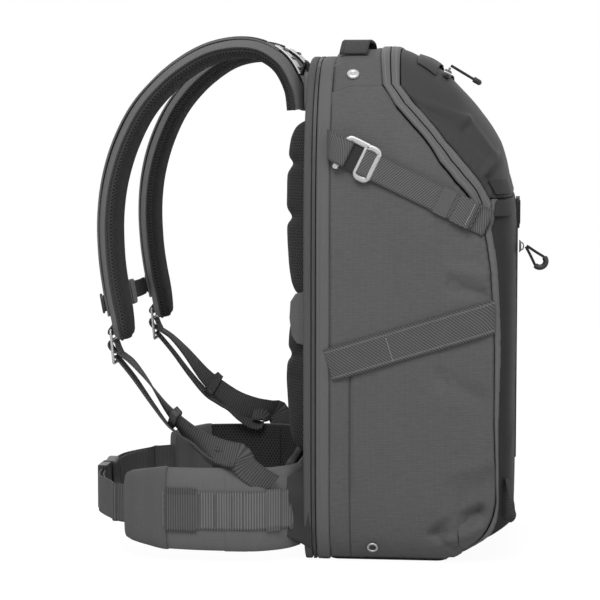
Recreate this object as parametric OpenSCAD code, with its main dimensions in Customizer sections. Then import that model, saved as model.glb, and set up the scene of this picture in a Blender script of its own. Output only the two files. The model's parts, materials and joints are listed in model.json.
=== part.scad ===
// Ski backpack: a stiff-backed bag with a rear door, a front lid, a padded harness and a hip belt.
// Z is up, the harness side is +Y and the wearer's left is -X.  The origin is on the base.

/* [Bag] */
// Outer width of the bag at its widest
bag_w = 286; // [260:1:310]
// Height of the bag at its back edge
bag_h = 494; // [470:1:520]
// Distance from the origin back to the rear zip
back_y = 83; // [75:1:95]
// Distance from the origin forward to the front face
front_y = 109; // [100:1:120]
// Rise of the lid's crown above the back edge
crown_rise = 13; // [8:1:18]
// Height where the front face starts to lean back
face_h = 330; // [310:1:350]
// Radius of the chin under the front face
chin_r = 46; // [36:1:56]
// Thickness of the padded fabric walls
wall = 3; // [2:0.5:4]
// Depth of the border that carries the rear zip
border_d = 13; // [8:1:18]
// Height of the lid's fold line on the front face
hinge_h = 356; // [348:1:362]
// Thickness of the stiff divider between the two compartments
divider_t = 3; // [2:0.5:5]
// Distance from the origin forward to the divider
divider_y = 52; // [44:1:60]

/* [Rear door] */
// Thickness of the door's stiff board
board_t = 3; // [2:0.5:4]
// Thickness of the padded rim round the door
rim_t = 8.6; // [7:0.2:10]
// Width of the padded rim round the door
rim_w = 22; // [16:1:28]
// Width of each aluminium stay
stay_w = 16; // [12:1:20]
// Thickness of each aluminium stay
stay_t = 2; // [1.5:0.5:3]
// Spread of the two stays from the middle
stay_x = 45; // [35:1:55]
// Drop from the bag's back edge to the upper back pad's top edge
pad_drop = 62; // [58:1:69]
// Gap between the upper back pad and the lumbar pad
pad_gap = 6; // [3:1:12]
// Height of the lumbar pad's top edge
lumbar_top = 245; // [235:1:255]
// Half width of the back pads
pad_half = 98; // [85:1:105]
// Thickness of the upper back pad at its crown
pad_t = 31; // [25:1:34]

/* [Harness] */
// Width of the shoulder straps over the shoulder
strap_w = 68; // [60:1:74]
// Thickness of the shoulder straps
strap_t = 18; // [14:1:20]
// Width of the webbing
web_w = 25; // [20:1:28]
// Thickness of the webbing
web_t = 1.8; // [1.4:0.1:2.2]
// Thickness of the aluminium buckles and plates
plate_t = 2.8; // [2.2:0.2:3.4]
// Spread of the strap roots from the middle
root_x = 60; // [56:1:64]
// Spread of the strap tips from the middle
tip_x = 116; // [112:1:120]

/* [Hip belt] */
// Height of the hip wings
wing_h = 80; // [70:1:84]
// Thickness of the hip wings
wing_t = 14; // [12:1:16]
// Height of the wings' middle above the base
belt_z = 53; // [51:1:58]
// Spread of the wing pivots from the middle
wing_x = 148; // [146:1:154]
// Distance from the origin back to the wing pivots
wing_y = 160; // [156:1:166]
// Height of the belt webbing
belt_web_h = 38; // [32:1:40]
// Reach of the male buckle's arms into the female half
arm_reach = 12; // [10:1:13]

/* [Fittings] */
// Width of the side compression webbing
side_web_w = 26; // [24:1:28]
// Width of the ski strap webbing
ski_web_w = 32; // [28:1:36]
// Outer diameter of the drain eyelets
eyelet_d = 11; // [9:0.5:14]
// Hole diameter of the drain eyelets
eyelet_hole_d = 6.6; // [5:0.2:8]
// Diameter of the yoke rivets
rivet_d = 12.4; // [10:0.2:14]
// Travel of the goggle pocket's zip slider
goggle_travel = 110; // [80:1:116]
// Travel of the front pocket's zip slider
front_travel = 200; // [150:1:215]
// Diameter of the zip pullers' cord
cord_d = 3.4; // [3:0.2:4]

/* [Hidden] */
$fn = 32;

// Seats: parts of one body meet with this gap, and parts of two bodies with the wider one.
seat = 0.3;
run_gap = 0.8;
cut = 1;
half_w = bag_w / 2;
crown_z = bag_h + crown_rise;
yoke_z = bag_h + 7;
border_y = back_y - border_d;
pad_top = bag_h - pad_drop;

// ---------------------------------------------------------------- the bag's skin
// The skin swells out from a core line along X.  A point has an angle about that line, measured
// from +Y towards +Z, and a share rho of the side outline's radius.  Its half width falls from
// half_w at the core to nothing at the outline as a superellipse with the exponent swell(angle).
core = [-10, bag_h / 2];
base_sag = 7;
crown_y = 14;
lid_bends = [[0.06, 0.26], [0.13, 0.44], [0.29, 0.608], [0.453, 0.739], [0.6, 0.84], [0.72, 0.9],
             [0.906, 0.966]];
lid_run = front_y + crown_y;
side_outline = concat(
  [[back_y, bag_h], [back_y - 23, yoke_z], [34, yoke_z], [crown_y, crown_z]],
  [for (i = [len(lid_bends) - 1:-1:0])
    [-front_y + lid_bends[i].x * lid_run, face_h + lid_bends[i].y * (crown_z - face_h)]],
  [for (t = [0:0.05:1]) [-front_y, face_h + t * (chin_r - base_sag - face_h)]],
  [for (t = [75:-15:0])
    [-front_y + chin_r * (1 - sin(t)), chin_r * (1 - cos(t)) - base_sag]]
);
function angle_of(p) = (atan2(p.y - core.y, p.x - core.x) + 360) % 360;
outline_polar = [for (p = side_outline) [angle_of(p), norm(p - core)]];
top_angle = outline_polar[0].x;
chin_angle = outline_polar[len(outline_polar) - 1].x;
swell_table = [[0, 3.6], [120, 3.6], [165, 7], [200, 8], [360, 8]];
function swell(a) = lookup(a, swell_table);
function radius(a) =
  a < top_angle ? (bag_h - core.y) / sin(max(a, 0.01)) :
  a <= chin_angle ? lookup(a, outline_polar) :
  (core.y + base_sag) / max(-sin(a), 0.0001);
function half_width(a, rho, d = 0) =
  (half_w - d) * pow(max(0, 1 - pow(min(rho, 1), swell(a))), 1 / swell(a));
// A point of the skin on the +X side, d below the surface, never lower than d above the base.
function skin_point(a, rho, d = 0) =
  let (r = rho * (radius(a) - d))
  [half_width(a, rho, d), core.x + r * cos(a), max(core.y + r * sin(a), d)];
// Half width of the skin over a point of the side view.
function skin_x(y, z) =
  let (a = angle_of([y, z])) half_width(a, norm([y, z] - core) / radius(a));

// Seams, as angle and share of the outline's radius.
band_rear_seam = [[82, 0.85], [84.8, 0.765], [90, 0.72], [95, 0.69], [100, 0.66], [108, 0.655],
                  [116, 0.67], [125, 0.685], [132.7, 0.7]];
band_front_seam = [[86.3, 0.85], [90, 0.805], [95, 0.775], [100.6, 0.755], [108, 0.755],
                   [113, 0.762], [117, 0.772], [122, 0.795], [125.5, 0.82]];
front_seam = [[117, 0.777], [122, 0.8], [125.5, 0.825], [132.7, 0.705], [151.6, 0.755],
              [171.9, 0.775], [203.7, 0.8], [225, 0.8], [233.9, 0.8], [244, 0.82], [258, 0.93]];
// Sewn panels that share a seam keep this share of the radius between them.
seam_share = 0.009;
panel_seam = [for (p = front_seam) [p.x, p.y + seam_share]];
yoke_rho = 0.85;
base_rho = core.y / (core.y + base_sag);
base_half = half_width(270, base_rho);

// The side panel's edge runs along the rear border, the yoke, the zip band, the front and the base.
function side_edge(a) =
  let (by_seam = a < 82 || a > 258 ? yoke_rho + (a > 258 ? 0.2 : 0) :
                 a < 132.7 ? lookup(a, band_rear_seam) - seam_share : lookup(a, front_seam),
       by_rear = (border_y - core.x) / max(cos(a), 0.0001),
       by_base = core.y / max(-sin(a), 0.0001))
  min(by_seam, by_rear / radius(a), by_base / radius(a));
// A wrapped panel runs from seam to seam: q is -1 on the left seam, 0 in the middle, 1 on the right.
function wrap_rho(a, q, seam) = 1 - (1 - lookup(a, seam)) * pow(abs(q), swell(a));
function wrap_point(a, q, seam, d = 0) =
  let (p = skin_point(a, wrap_rho(a, q, seam), d)) [sign(q) * p.x, p.y, p.z];
// The angle at which a wrapped panel's line of constant q crosses height h, by halving.
function angle_at(h, q, seam, low = 100, high = 170, steps = 14) =
  steps == 0 ? (low + high) / 2 :
  let (mid = (low + high) / 2)
  wrap_point(mid, q, seam).z > h ? angle_at(h, q, seam, mid, high, steps - 1)
                                 : angle_at(h, q, seam, low, mid, steps - 1);

// ---------------------------------------------------------------- closed shapes from grids
function flat(rows) = [for (row = rows) for (p = row) p];
// A closed plate between an outer and an inner grid of points, row by row.
module grid_plate(outer, inner) {
  m = len(outer);
  n = len(outer[0]);
  base = m * n;
  grid = [for (i = [0:m - 2]) for (j = [0:n - 2])
    [i * n + j, i * n + j + 1, i * n + n + j + 1, i * n + n + j]];
  front = [for (g = grid) for (t = [[g[0], g[1], g[2]], [g[0], g[2], g[3]]]) t];
  back = [for (t = front) [t[2] + base, t[1] + base, t[0] + base]];
  loop = concat([for (j = [0:n - 1]) j], [for (i = [1:m - 1]) i * n + n - 1],
                [for (j = [n - 2:-1:0]) (m - 1) * n + j], [for (i = [m - 2:-1:1]) i * n]);
  k = len(loop);
  rim = [for (i = [0:k - 1]) let (a = loop[i], b = loop[(i + 1) % k])
    for (t = [[b, a, a + base], [b, a + base, b + base]]) t];
  polyhedron(concat(flat(outer), flat(inner)), concat(front, back, rim), convexity = 6);
}
// A closed tube through rings of points, with flat ends.
module ring_tube(rings) {
  m = len(rings);
  n = len(rings[0]);
  sides = [for (i = [0:m - 2]) for (j = [0:n - 1]) let (k = (j + 1) % n)
    for (t = [[i * n + n + k, i * n + k, i * n + j], [i * n + n + j, i * n + n + k, i * n + j]]) t];
  ends = concat([for (j = [1:n - 2]) [0, j, j + 1]],
                [for (j = [1:n - 2]) [(m - 1) * n, (m - 1) * n + j + 1, (m - 1) * n + j]]);
  polyhedron(flat(rings), concat(sides, ends), convexity = 6);
}
function unit(v) = v / norm(v);
function tangent(path, i) = unit(path[min(i + 1, len(path) - 1)] - path[max(i - 1, 0)]);
// Catmull-Rom curve through hand-chosen points, with some steps between each pair.
function spline(p, steps) = [
  for (i = [0:len(p) - 2]) for (s = [0:1 / steps:1 - 0.5 / steps])
    let (a = p[max(i - 1, 0)], b = p[i], c = p[i + 1], d = p[min(i + 2, len(p) - 1)])
    0.5 * (2 * b + (c - a) * s + (2 * a - 5 * b + 4 * c - d) * s * s
      + (3 * b - a - 3 * c + d) * pow(s, 3)),
  p[len(p) - 1]
];
// One rounded-rectangle ring of a ribbon, w wide along the side direction and t thick.
function ribbon_ring(at, along, side, w, t, round) =
  let (u = unit(side - (side * along) * along), n = cross(along, u), r = min(round, t / 2 - 0.01))
  round == 0
    ? [for (c = [[1, 1], [-1, 1], [-1, -1], [1, -1]]) at + u * c.x * w / 2 + n * c.y * t / 2]
    : [for (c = [[1, 1, 0], [-1, 1, 90], [-1, -1, 180], [1, -1, 270]]) for (e = [0, 45, 90])
        at + u * (c.x * (w / 2 - r) + r * cos(c[2] + e))
          + n * (c.y * (t / 2 - r) + r * sin(c[2] + e))];
// A ribbon along a path: sides, widths and thicknesses may be lists as long as the path.
module ribbon(path, side, w, t, round = 0) {
  ring_tube([for (i = [0:len(path) - 1])
    ribbon_ring(path[i], tangent(path, i), is_list(side[0]) ? side[i] : side,
                is_list(w) ? w[i] : w, is_list(t) ? t[i] : t, round)]);
}
module both_sides() {
  children();
  mirror([1, 0, 0]) children();
}
// A rectangle in the XY plane with four round corners.
module rounded_rect(size, r) {
  square([size.x - 2 * r, size.y], center = true);
  square([size.x, size.y - 2 * r], center = true);
  for (x = [-1, 1], y = [-1, 1]) translate([x * (size.x / 2 - r), y * (size.y / 2 - r)]) circle(r);
}

// ---------------------------------------------------------------- bag
side_angles = concat([for (a = [3:6:69]) a], [72.5, 76, 79, 82, 84.8, 88, 92, 96, 100.6, 105, 110, 115],
                     [120, 125, 129, 132.7, 140, 148, 156, 165, 174, 183, 192, 201, 210, 218, 226, 233],
                     [240, 246, 252, 258], [for (a = [264:6:288]) a], [291, 294, 298, 304],
                     [for (a = [310:6:358]) a]);
side_rings = [0.35, 0.6, 0.8, 0.92, 1];
module side_panel() {
  outer = [for (s = side_rings) [for (a = side_angles) skin_point(a, s * side_edge(a))]];
  inner = [for (s = side_rings) [for (a = side_angles) skin_point(a, s * side_edge(a), wall)]];
  m = len(side_rings);
  n = len(side_angles);
  hub = 2 * m * n;
  skin = concat([for (i = [0:m - 2]) for (j = [0:n - 1]) let (a = i * n + j, b = i * n + (j + 1) % n)
                   for (t = [[a, b, b + n], [a, b + n, a + n]]) t],
                [for (j = [0:n - 1]) [hub, (j + 1) % n, j]]);
  inside = [for (t = skin) [for (v = [t[2], t[1], t[0]]) v == hub ? hub + 1 : v + m * n]];
  edge = [for (j = [0:n - 1]) let (a = (m - 1) * n + j, b = (m - 1) * n + (j + 1) % n)
    for (t = [[a, b, a + m * n], [b, b + m * n, a + m * n]]) t];
  hubs = [[half_w, core.x, core.y], [half_w - wall, core.x, core.y]];
  polyhedron(concat(flat(outer), flat(inner), hubs), concat(skin, inside, edge), convexity = 6);
}
module side_panel_left() { color("#565656") mirror([1, 0, 0]) side_panel(); }
module side_panel_right() { color("#565656") side_panel(); }

wrap_steps = [-1:1 / 8:1];
// A wrapped panel between two angles, which may depend on q.
module wrap_panel(rows) {
  grid_plate([for (row = rows) [for (c = row) wrap_point(c[0], c[1], c[2])]],
             [for (row = rows) [for (c = row) wrap_point(c[0], c[1], c[2], wall)]]);
}
front_rows = [0, 0.05, 0.12, 0.2, 0.3, 0.4, 0.5, 0.6, 0.68, 0.76, 0.82, 0.88, 0.92, 0.96, 1];
module front_panel() {
  color("#3d3d3d") wrap_panel([for (s = front_rows) [for (q = wrap_steps)
    let (a = angle_at(hinge_h - run_gap, q, panel_seam)) [a + s * (chin_angle - a), q, panel_seam]]]);
}
// The lid starts a running gap in front of the band's front seam.
lid_seam = [for (p = band_front_seam) [p.x, p.y + run_gap / 150]];
lid_first_angle = band_front_seam[0].x + 0.35;
module lid_shell() {
  color("#3d3d3d") wrap_panel([for (s = [0:1 / 11:1]) [for (q = wrap_steps)
    let (a = angle_at(hinge_h, q, lid_seam)) [lid_first_angle + s * (a - lid_first_angle), q, lid_seam]]]);
}
yoke_seam = [[0, yoke_rho], [360, yoke_rho]];
// The angle at which the yoke's line of constant q meets the rear border, by halving.
function border_angle(q, low = 60, high = 80, steps = 14) =
  steps == 0 ? (low + high) / 2 :
  let (mid = (low + high) / 2)
  wrap_point(mid, q, yoke_seam).y > border_y ? border_angle(q, mid, high, steps - 1)
                                             : border_angle(q, low, mid, steps - 1);
yoke_front_angle = band_rear_seam[0].x;
module top_yoke() {
  color("#4b4b4b") wrap_panel([for (s = [0, 0.25, 0.5, 0.75, 1]) [for (q = wrap_steps)
    let (a = border_angle(q)) [a + s * (yoke_front_angle - a), q, yoke_seam]]]);
}
// Outline of the bag's back opening, d inside the surface, as X and Z.
back_heights = [for (t = [0:0.04:1]) t];
function back_outline(d) =
  let (right = [for (t = back_heights)
         let (z = d + (bag_h - 2 * d) * pow(sin(t * 90), 1.3),
              rho = abs(z - core.y) / (z > core.y ? bag_h - core.y : core.y + base_sag))
         [half_width(angle_of([back_y, z]), rho) - d, z]])
  concat([for (p = right) if (p.x >= 0) p],
         [for (i = [len(right) - 1:-1:0]) if (right[i].x > 0) [-right[i].x, right[i].y]]);
// A solid of the back outline between two depths.
module back_slab(d, from_y, to_y) {
  translate([0, to_y, 0]) rotate([90, 0, 0]) linear_extrude(to_y - from_y) polygon(back_outline(d));
}
module rear_border() {
  color("#565656") difference() {
    back_slab(0, border_y, back_y);
    back_slab(wall, border_y - cut, back_y + cut);
  }
}
base_front_y = core.x + radius(chin_angle) * cos(chin_angle) + wall;
module base_panel() {
  half = base_half - wall;
  color("#303030") translate([-half, base_front_y, 0]) cube([2 * half, border_y - seat - base_front_y, wall]);
}
// The band that carries the lid's zip: up the left side, over the top and down the right.
band_side_steps = 12;
band_top_steps = 6;
function band_side(s, seam, d) =
  let (n = len(seam) - 1, i = min(floor(s * n), n - 1), f = s * n - i,
       p = seam[i] + (seam[i + 1] - seam[i]) * f) skin_point(p.x, p.y, d);
function band_edge(seam, d) =
  let (side = [for (i = [band_side_steps:-1:1]) band_side(i / band_side_steps, seam, d)],
       a = seam[0].x,
       top = [for (i = [0:band_top_steps]) let (q = 1 - i / band_top_steps)
         skin_point(a, 1 - (1 - seam[0].y) * pow(q, swell(a)), d)],
       half = concat(side, top))
  concat([for (p = half) [-p.x, p.y, p.z]], [for (i = [len(half) - 2:-1:0]) half[i]]);
module lid_zip_band() {
  color("#646464") grid_plate([band_edge(band_rear_seam, 0), band_edge(band_front_seam, 0)],
                              [band_edge(band_rear_seam, wall), band_edge(band_front_seam, wall)]);
}
divider_ease = 1;
divider_foot = 45;
foot_ease = 7;
divider_drop = 16;
// The stiff divider stands between the side panels, a seat inside the wall.
module compartment_divider() {
  clear = wall + seat + divider_ease;
  top_z = hinge_h - divider_drop;
  right = [for (z = [wall + seat:9:top_z])
    [skin_x(-divider_y, z) - clear - foot_ease * max(0, 1 - z / divider_foot), z]];
  color("#2f2f2f") translate([0, -divider_y + divider_t, 0]) rotate([90, 0, 0]) linear_extrude(divider_t)
    polygon(concat(right, [for (i = [len(right) - 1:-1:0]) [-right[i].x, right[i].y]]));
}

// ---------------------------------------------------------------- fittings on the bag
handle_w = 28;
handle_rise = 10;
handle_half = 62;
handle_y = 52;
handle_foot = 14;
function yoke_top(x) = let (a = 80, rho = pow(1 - pow(abs(x) / half_w, swell(a)), 1 / swell(a)))
  skin_point(a, rho).z;
module carry_handle() {
  lift = web_t / 2 + 2 * seat;
  foot = [for (x = [handle_half, handle_half + handle_foot]) [x, handle_y, yoke_top(x) + lift]];
  path = concat([for (i = [1, 0]) [-foot[i].x, handle_y, foot[i].z]],
                [for (t = [-0.75:0.25:0.75])
                  [t * handle_half, handle_y, yoke_z + handle_rise * (1 - pow(t, 4) * 0.8)]],
                foot);
  color("#3a3a3a") ribbon(path, [0, 1, 0], handle_w, web_t);
}
rivet_y = back_y - 33;
rivet_z = bag_h - 20;
rivet_t = 2.4;
rivet_lean = 45;
module yoke_rivets() {
  color("#c8c8c8") both_sides()
    translate([skin_x(rivet_y, rivet_z), rivet_y, rivet_z]) rotate([0, rivet_lean, 0]) translate([0, 0, seat])
      cylinder(d = rivet_d, h = rivet_t);
}
eyelet_y = 28;
eyelet_z = 15.5;
eyelet_t = 1.6;
eyelet_lean = atan2(skin_x(eyelet_y, eyelet_z + 5) - skin_x(eyelet_y, eyelet_z - 5), 10);
module drain_eyelets() {
  color("#b8b8b8") both_sides()
    translate([skin_x(eyelet_y, eyelet_z) + seat, eyelet_y, eyelet_z]) rotate([0, 90 + eyelet_lean, 0])
    difference() {
      cylinder(d = eyelet_d, h = eyelet_t);
      translate([0, 0, -cut]) cylinder(d = eyelet_hole_d, h = eyelet_t + 2 * cut);
    }
}
// Webbing strips that lie on the side panel, given by side-view points.
// The height of the skin under a strip: the highest of its middle and its two edges.
function skin_under(p, across) = max([for (u = [-1, 0, 1]) skin_x(p.x + u * across.x, p.y + u * across.y)]);
module side_strip(from, to, w, lift, steps = 10) {
  along = unit(to - from);
  across = [-along.y, along.x];
  path = [for (i = [0:steps]) let (p = from + (to - from) * i / steps)
    [skin_under(p, across * w / 2) + lift + web_t / 2, p.x, p.y]];
  ribbon(path, [0, across.x, across.y], w, web_t);
}
ski_from = [border_y - 1, 195];
ski_to = [-88, 243];
ski_lift = seat;
module ski_strap() { side_strip(ski_from, ski_to, ski_web_w, ski_lift); }
module ski_strap_left() { color("#636363") mirror([1, 0, 0]) ski_strap(); }
module ski_strap_right() { color("#636363") ski_strap(); }

// Side compression: a slanting strap swings in the plane of the side about its sewn front end.
strap_plane = half_w - 0.7;
strap_pivot = [-62, 342];
strap_rise = 26;
strap_dir = [cos(strap_rise), sin(strap_rise)];
hook_w = 33;
hook_bar = 4.2;
hook_at = 97;
loop_t = 1.6;
// Children lie in the XY plane: X runs from the pivot up the strap, Y across it, Z outwards.
module on_strap() {
  translate([strap_plane, strap_pivot.x, strap_pivot.y])
    multmatrix([[0, 0, 1, 0], [strap_dir.x, strap_dir.y, 0, 0], [strap_dir.y, -strap_dir.x, 0, 0],
                [0, 0, 0, 1]])
      children();
}
// Its sewn end is round about the pivot, and lies on the anchor.
module side_strap() {
  on_strap() {
    translate([0, -side_web_w / 2, 0]) cube([hook_at - seat, side_web_w, web_t]);
    cylinder(d = side_web_w, h = web_t);
  }
}
module side_strap_left() { color("#5d5d5d") mirror([1, 0, 0]) side_strap(); }
module side_strap_right() { color("#5d5d5d") side_strap(); }
// A hook of bent plate: a closed slot for the strap, and an arm that is open at its lower end.
arm_gap = 15;
module side_hook() {
  on_strap() translate([hook_at, 0, 0]) linear_extrude(plate_t) difference() {
    union() {
      translate([hook_bar * 2.2, 0]) rounded_rect([hook_bar * 4.4, hook_w + 2], 4);
      translate([hook_bar * 4.4 + arm_gap / 2 - 1, -hook_w / 2 + hook_bar / 2 - 1])
        square([arm_gap + 4, hook_bar], center = true);
      translate([hook_bar * 4.4 + arm_gap + hook_bar / 2, 0.5]) square([hook_bar, hook_w + 1], center = true);
    }
    translate([hook_bar * 2.2, 0]) square([hook_bar * 2.4, side_web_w + 1], center = true);
  }
}
module side_hook_left() { color("#d0d0d0") mirror([1, 0, 0]) side_hook(); }
module side_hook_right() { color("#d0d0d0") side_hook(); }
// The sewn loop that the arm passes through lies flat on the border, along the strap's own line.
loop_in = hook_at + hook_bar * 4.4 + arm_gap - 3;
loop_run = 21;
loop_cavity = 13;
loop_lift = 1.2;
loop_gap = 0.6;
loop_end = strap_pivot + (loop_in + loop_cavity) * strap_dir;
loop_foot = strap_plane - seat - skin_under(loop_end, [strap_dir.y, -strap_dir.x] * side_web_w / 2);
module side_loop() {
  low = -loop_lift;
  high = plate_t + loop_gap;
  on_strap() translate([loop_in, -side_web_w / 2, 0]) {
    translate([-loop_t, 0, high]) cube([loop_run + loop_t, side_web_w, loop_t]);
    translate([-loop_t, 0, low]) cube([loop_run + loop_t, side_web_w, loop_lift - loop_gap]);
    translate([-loop_t, 0, low]) cube([loop_t, side_web_w, high - low + loop_t]);
    translate([loop_cavity, 0, -loop_foot])
      cube([loop_run - loop_cavity, side_web_w, high + loop_foot + loop_t]);
  }
}
module side_loop_left() { color("#636363") mirror([1, 0, 0]) side_loop(); }
module side_loop_right() { color("#636363") side_loop(); }
// The anchor lies under the strap's round end and is sewn down at the front seam.
anchor_len = 24;
anchor_lap = 9;
module strap_anchor() {
  across = [strap_dir.y, -strap_dir.x] * (side_web_w / 2 + 1);
  top_x = strap_plane - run_gap / 2 - web_t / 2;
  path = [for (s = [anchor_lap, 0, -anchor_len / 4, -anchor_len / 2, -anchor_len * 3 / 4, -anchor_len])
    let (p = strap_pivot + s * strap_dir, low_x = skin_under(p, across) + seat + web_t / 2)
    [s >= 0 ? top_x : low_x + max(top_x - low_x, 0) * pow(1 + s / anchor_len, 2), p.x, p.y]];
  ribbon(path, [0, across.x, across.y], side_web_w + 2, web_t);
}
module strap_anchor_left() { color("#5d5d5d") mirror([1, 0, 0]) strap_anchor(); }
module strap_anchor_right() { color("#5d5d5d") strap_anchor(); }

tab_w = 64;
tab_h = 30;
tab_t = 3;
tab_top = hinge_h - 4;
module front_tab() {
  color("#2b2b2b") translate([0, -front_y - seat - 0.2, tab_top - tab_h / 2]) rotate([90, 0, 0])
    linear_extrude(tab_t) rounded_rect([tab_w, tab_h], 3);
}
zip_x = -62;
zip_w = 7;
zip_t = 1.4;
zip_top = 318;
module front_zip_track() {
  color("#242424") translate([zip_x - zip_w / 2, -front_y - seat - 0.2 - zip_t, zip_top - front_travel - 22])
    cube([zip_w, zip_t, front_travel + 30]);
}
slider_len = 12;
slider_w = 8;
slider_t = 3;
slider_gap = 0.4;
module slider_body() {
  // Z is away from the track, Y runs up the track.
  translate([-slider_w / 2, -slider_len / 2, 0]) cube([slider_w, slider_len, slider_t]);
  translate([-slider_bail / 2, 1 - slider_w / 2, slider_t - 0.1])
    cube([slider_bail, slider_w - 2, slider_bail]);
}
front_slider_y = -front_y - seat - 0.2 - zip_t - slider_gap;
module front_slider() {
  color("#303030") translate([zip_x, front_slider_y, zip_top - slider_len]) rotate([90, 0, 0]) slider_body();
}
// A cord loop: two legs spread from the bail to a round end, in the YZ plane, pointing along +Y.
loop_leg = 20;
loop_r = 6;
module puller_loop(length) {
  reach = loop_r + cord_d;
  rotate([0, 90, 0]) {
    translate([0, length, 0]) intersection() {
      rotate_extrude() translate([loop_r, 0]) circle(d = cord_d);
      translate([-reach, 0, -reach]) cube([2 * reach, reach, 2 * reach]);
    }
    for (s = [-1, 1]) rotate([0, 0, s * atan2(loop_r, length)]) rotate([-90, 0, 0])
      cylinder(d = cord_d, h = norm([loop_r, length]));
    sphere(d = cord_d);
  }
}
puller_lean = 48;
front_pivot = [zip_x, front_slider_y - slider_t - 2 - cord_d / 2 - slider_gap, zip_top - slider_len];
module front_puller() {
  color("#1d1d1d") translate(front_pivot) rotate([180 + puller_lean, 0, 0]) puller_loop(loop_leg);
}

// ---------------------------------------------------------------- lid fittings
goggle_angle = 97.2;
goggle_half = goggle_travel / 2 + 12;
function lid_top(x, d = 0) =
  let (n = swell(goggle_angle), rho = pow(1 - pow(abs(x) / half_w, n), 1 / n))
  skin_point(goggle_angle, rho, d);
lid_lean = 27;
track_w = 8;
track_lift = 1;
track_ease = 0.4;
module goggle_zip_track() {
  xs = [for (t = [-1:0.25:1]) t * goggle_half];
  n_out = [0, -sin(lid_lean), cos(lid_lean)];
  along = [0, -cos(lid_lean), -sin(lid_lean)];
  top = let (p = lid_top(0)) [p.y, p.z];
  half = along * track_w / 2;
  color("#242424") ring_tube([for (x = xs)
    let (p = lid_top(x), low = [x, p.y, p.z] + n_out * (seat + track_ease),
         high = [x, top.x, top.y] + n_out * (track_lift + seat + track_ease))
    [low - half, high - half, high + half, low + half]]);
}
goggle_rest_x = -goggle_travel / 2;
lid_out = [-sin(lid_lean), cos(lid_lean)];
goggle_seat = let (p = lid_top(0)) [p.y, p.z] + lid_out * (track_lift + seat + track_ease + slider_gap);
module goggle_slider() {
  color("#303030") translate([goggle_rest_x, goggle_seat.x, goggle_seat.y]) rotate([lid_lean, 0, 0])
    rotate([0, 0, 90]) slider_body();
}
goggle_lift = slider_t + 2 + cord_d / 2 + slider_gap;
goggle_pivot = let (p = goggle_seat + lid_out * goggle_lift) [goggle_rest_x, p.x, p.y];
goggle_drop = 31;
module goggle_puller() {
  color("#1d1d1d") translate(goggle_pivot) rotate([180 + goggle_drop, 0, 0]) rotate([0, 90, 0])
    puller_loop(loop_leg + 6);
}
flap_t = 2;
flap_half = 92;
module goggle_flap() {
  angles = [goggle_angle - 7, goggle_angle - 4.6, goggle_angle - 2.4];
  qs = [-0.62:0.62 / 6:0.62];
  color("#474747") grid_plate(
    [for (a = angles) [for (q = qs) wrap_point(a, q, lid_seam, -seat - flap_t)]],
    [for (a = angles) [for (q = qs) wrap_point(a, q, lid_seam, -seat)]]);
}

// ---------------------------------------------------------------- hidden zip sliders on the right side
lid_slide_from = [-44, 380];
lid_slide_to = [-16, 424];
lid_slider_lift = 3;
short_pull = 12;
slider_bail = 2;
// The slider with a short cord pull lies flat: Y runs up the zip and Z is away from it.
module pulled_slider() {
  rotate([0, 0, 90]) slider_body();
  translate([slider_len / 2 - 1, 0, cord_d / 2 + 0.5]) rotate([0, 90, 0])
    cylinder(d = cord_d, h = short_pull);
}
module lid_slider() {
  at = lid_slide_from;
  d = lid_slide_to - at;
  color("#303030") translate([skin_x(at.x, at.y) + lid_slider_lift, at.x, at.y])
    rotate([atan2(d.y, d.x) - 90, 0, 0]) rotate([0, 90, 0]) pulled_slider();
}
back_slide_z = 120;
back_slide_in = 4;
module back_slider() {
  color("#303030") translate([half_w + seat, back_y - back_slide_in, back_slide_z]) rotate([0, 90, 0])
    pulled_slider();
}
// A short loop for an ice axe stands out from the left corner of the front panel.
axe_first = 240.4;
axe_step = 0.85;
axe_q = -0.9;
axe_w = 11;
axe_lifts = [0, 5, 9, 10, 9, 5, 0];
module axe_loop() {
  function at(i, q = axe_q) =
    wrap_point(axe_first + i * axe_step, q, panel_seam, -(axe_lifts[i] + seat + web_t / 2));
  ends = [0:len(axe_lifts) - 1];
  color("#1d1d1d") ribbon([for (i = ends) at(i)], [for (i = ends) at(i, axe_q + 0.03) - at(i, axe_q - 0.03)],
                          axe_w, web_t);
}

// ---------------------------------------------------------------- rear door
door_y = back_y + run_gap;
board_y = door_y + board_t;
rim_y = board_y + rim_t;
module back_board() { color("#2f2f2f") back_slab(seat, door_y, board_y); }
module door_rim() {
  color("#565656") difference() {
    back_slab(seat, board_y + seat, rim_y);
    back_slab(rim_w, board_y, rim_y + cut);
  }
}
stay_low = 60;
stay_high = pad_top - 2;
module frame_stays() {
  color("#b0b0b0") for (x = [-stay_x, stay_x])
    translate([x, board_y + seat, (stay_low + stay_high) / 2]) rotate([-90, 0, 0])
      linear_extrude(stay_t) rounded_rect([stay_w, stay_high - stay_low], 6);
}
pad_base = board_y + seat + stay_t + seat;
pad_edge = 3;
// A crowned pad: full in the middle, drawn in to its edges, with sewn channels across and down it.
function bump(u, at, w) = exp(-pow((u - at) / w, 2));
function pad_depth(u, v, t, channels) =
  t * pow(max(0, 1 - pow(abs(u), 6)), 0.4) * pow(max(0, 1 - pow(abs(v), 8)), 0.4)
    * (1 - 0.45 * bump(u, 0, 0.13)) * (1 - 0.35 * max([for (c = channels) bump(v, c, 0.07)]));
module crowned_pad(half, low, high, base, t, channels, cols = 18, rows = 20) {
  us = [for (i = [0:cols]) sin(-90 + 180 * i / cols)];
  vs = [for (i = [0:rows]) sin(-90 + 180 * i / rows)];
  mid = (low + high) / 2;
  outer = [for (v = vs) [for (u = us)
    [u * half, base + pad_edge + pad_depth(u, v, t - pad_edge, channels), mid + v * (high - low) / 2]]];
  inner = [for (v = vs) [for (u = us) [u * half, base, mid + v * (high - low) / 2]]];
  grid_plate(outer, inner);
}
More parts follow.
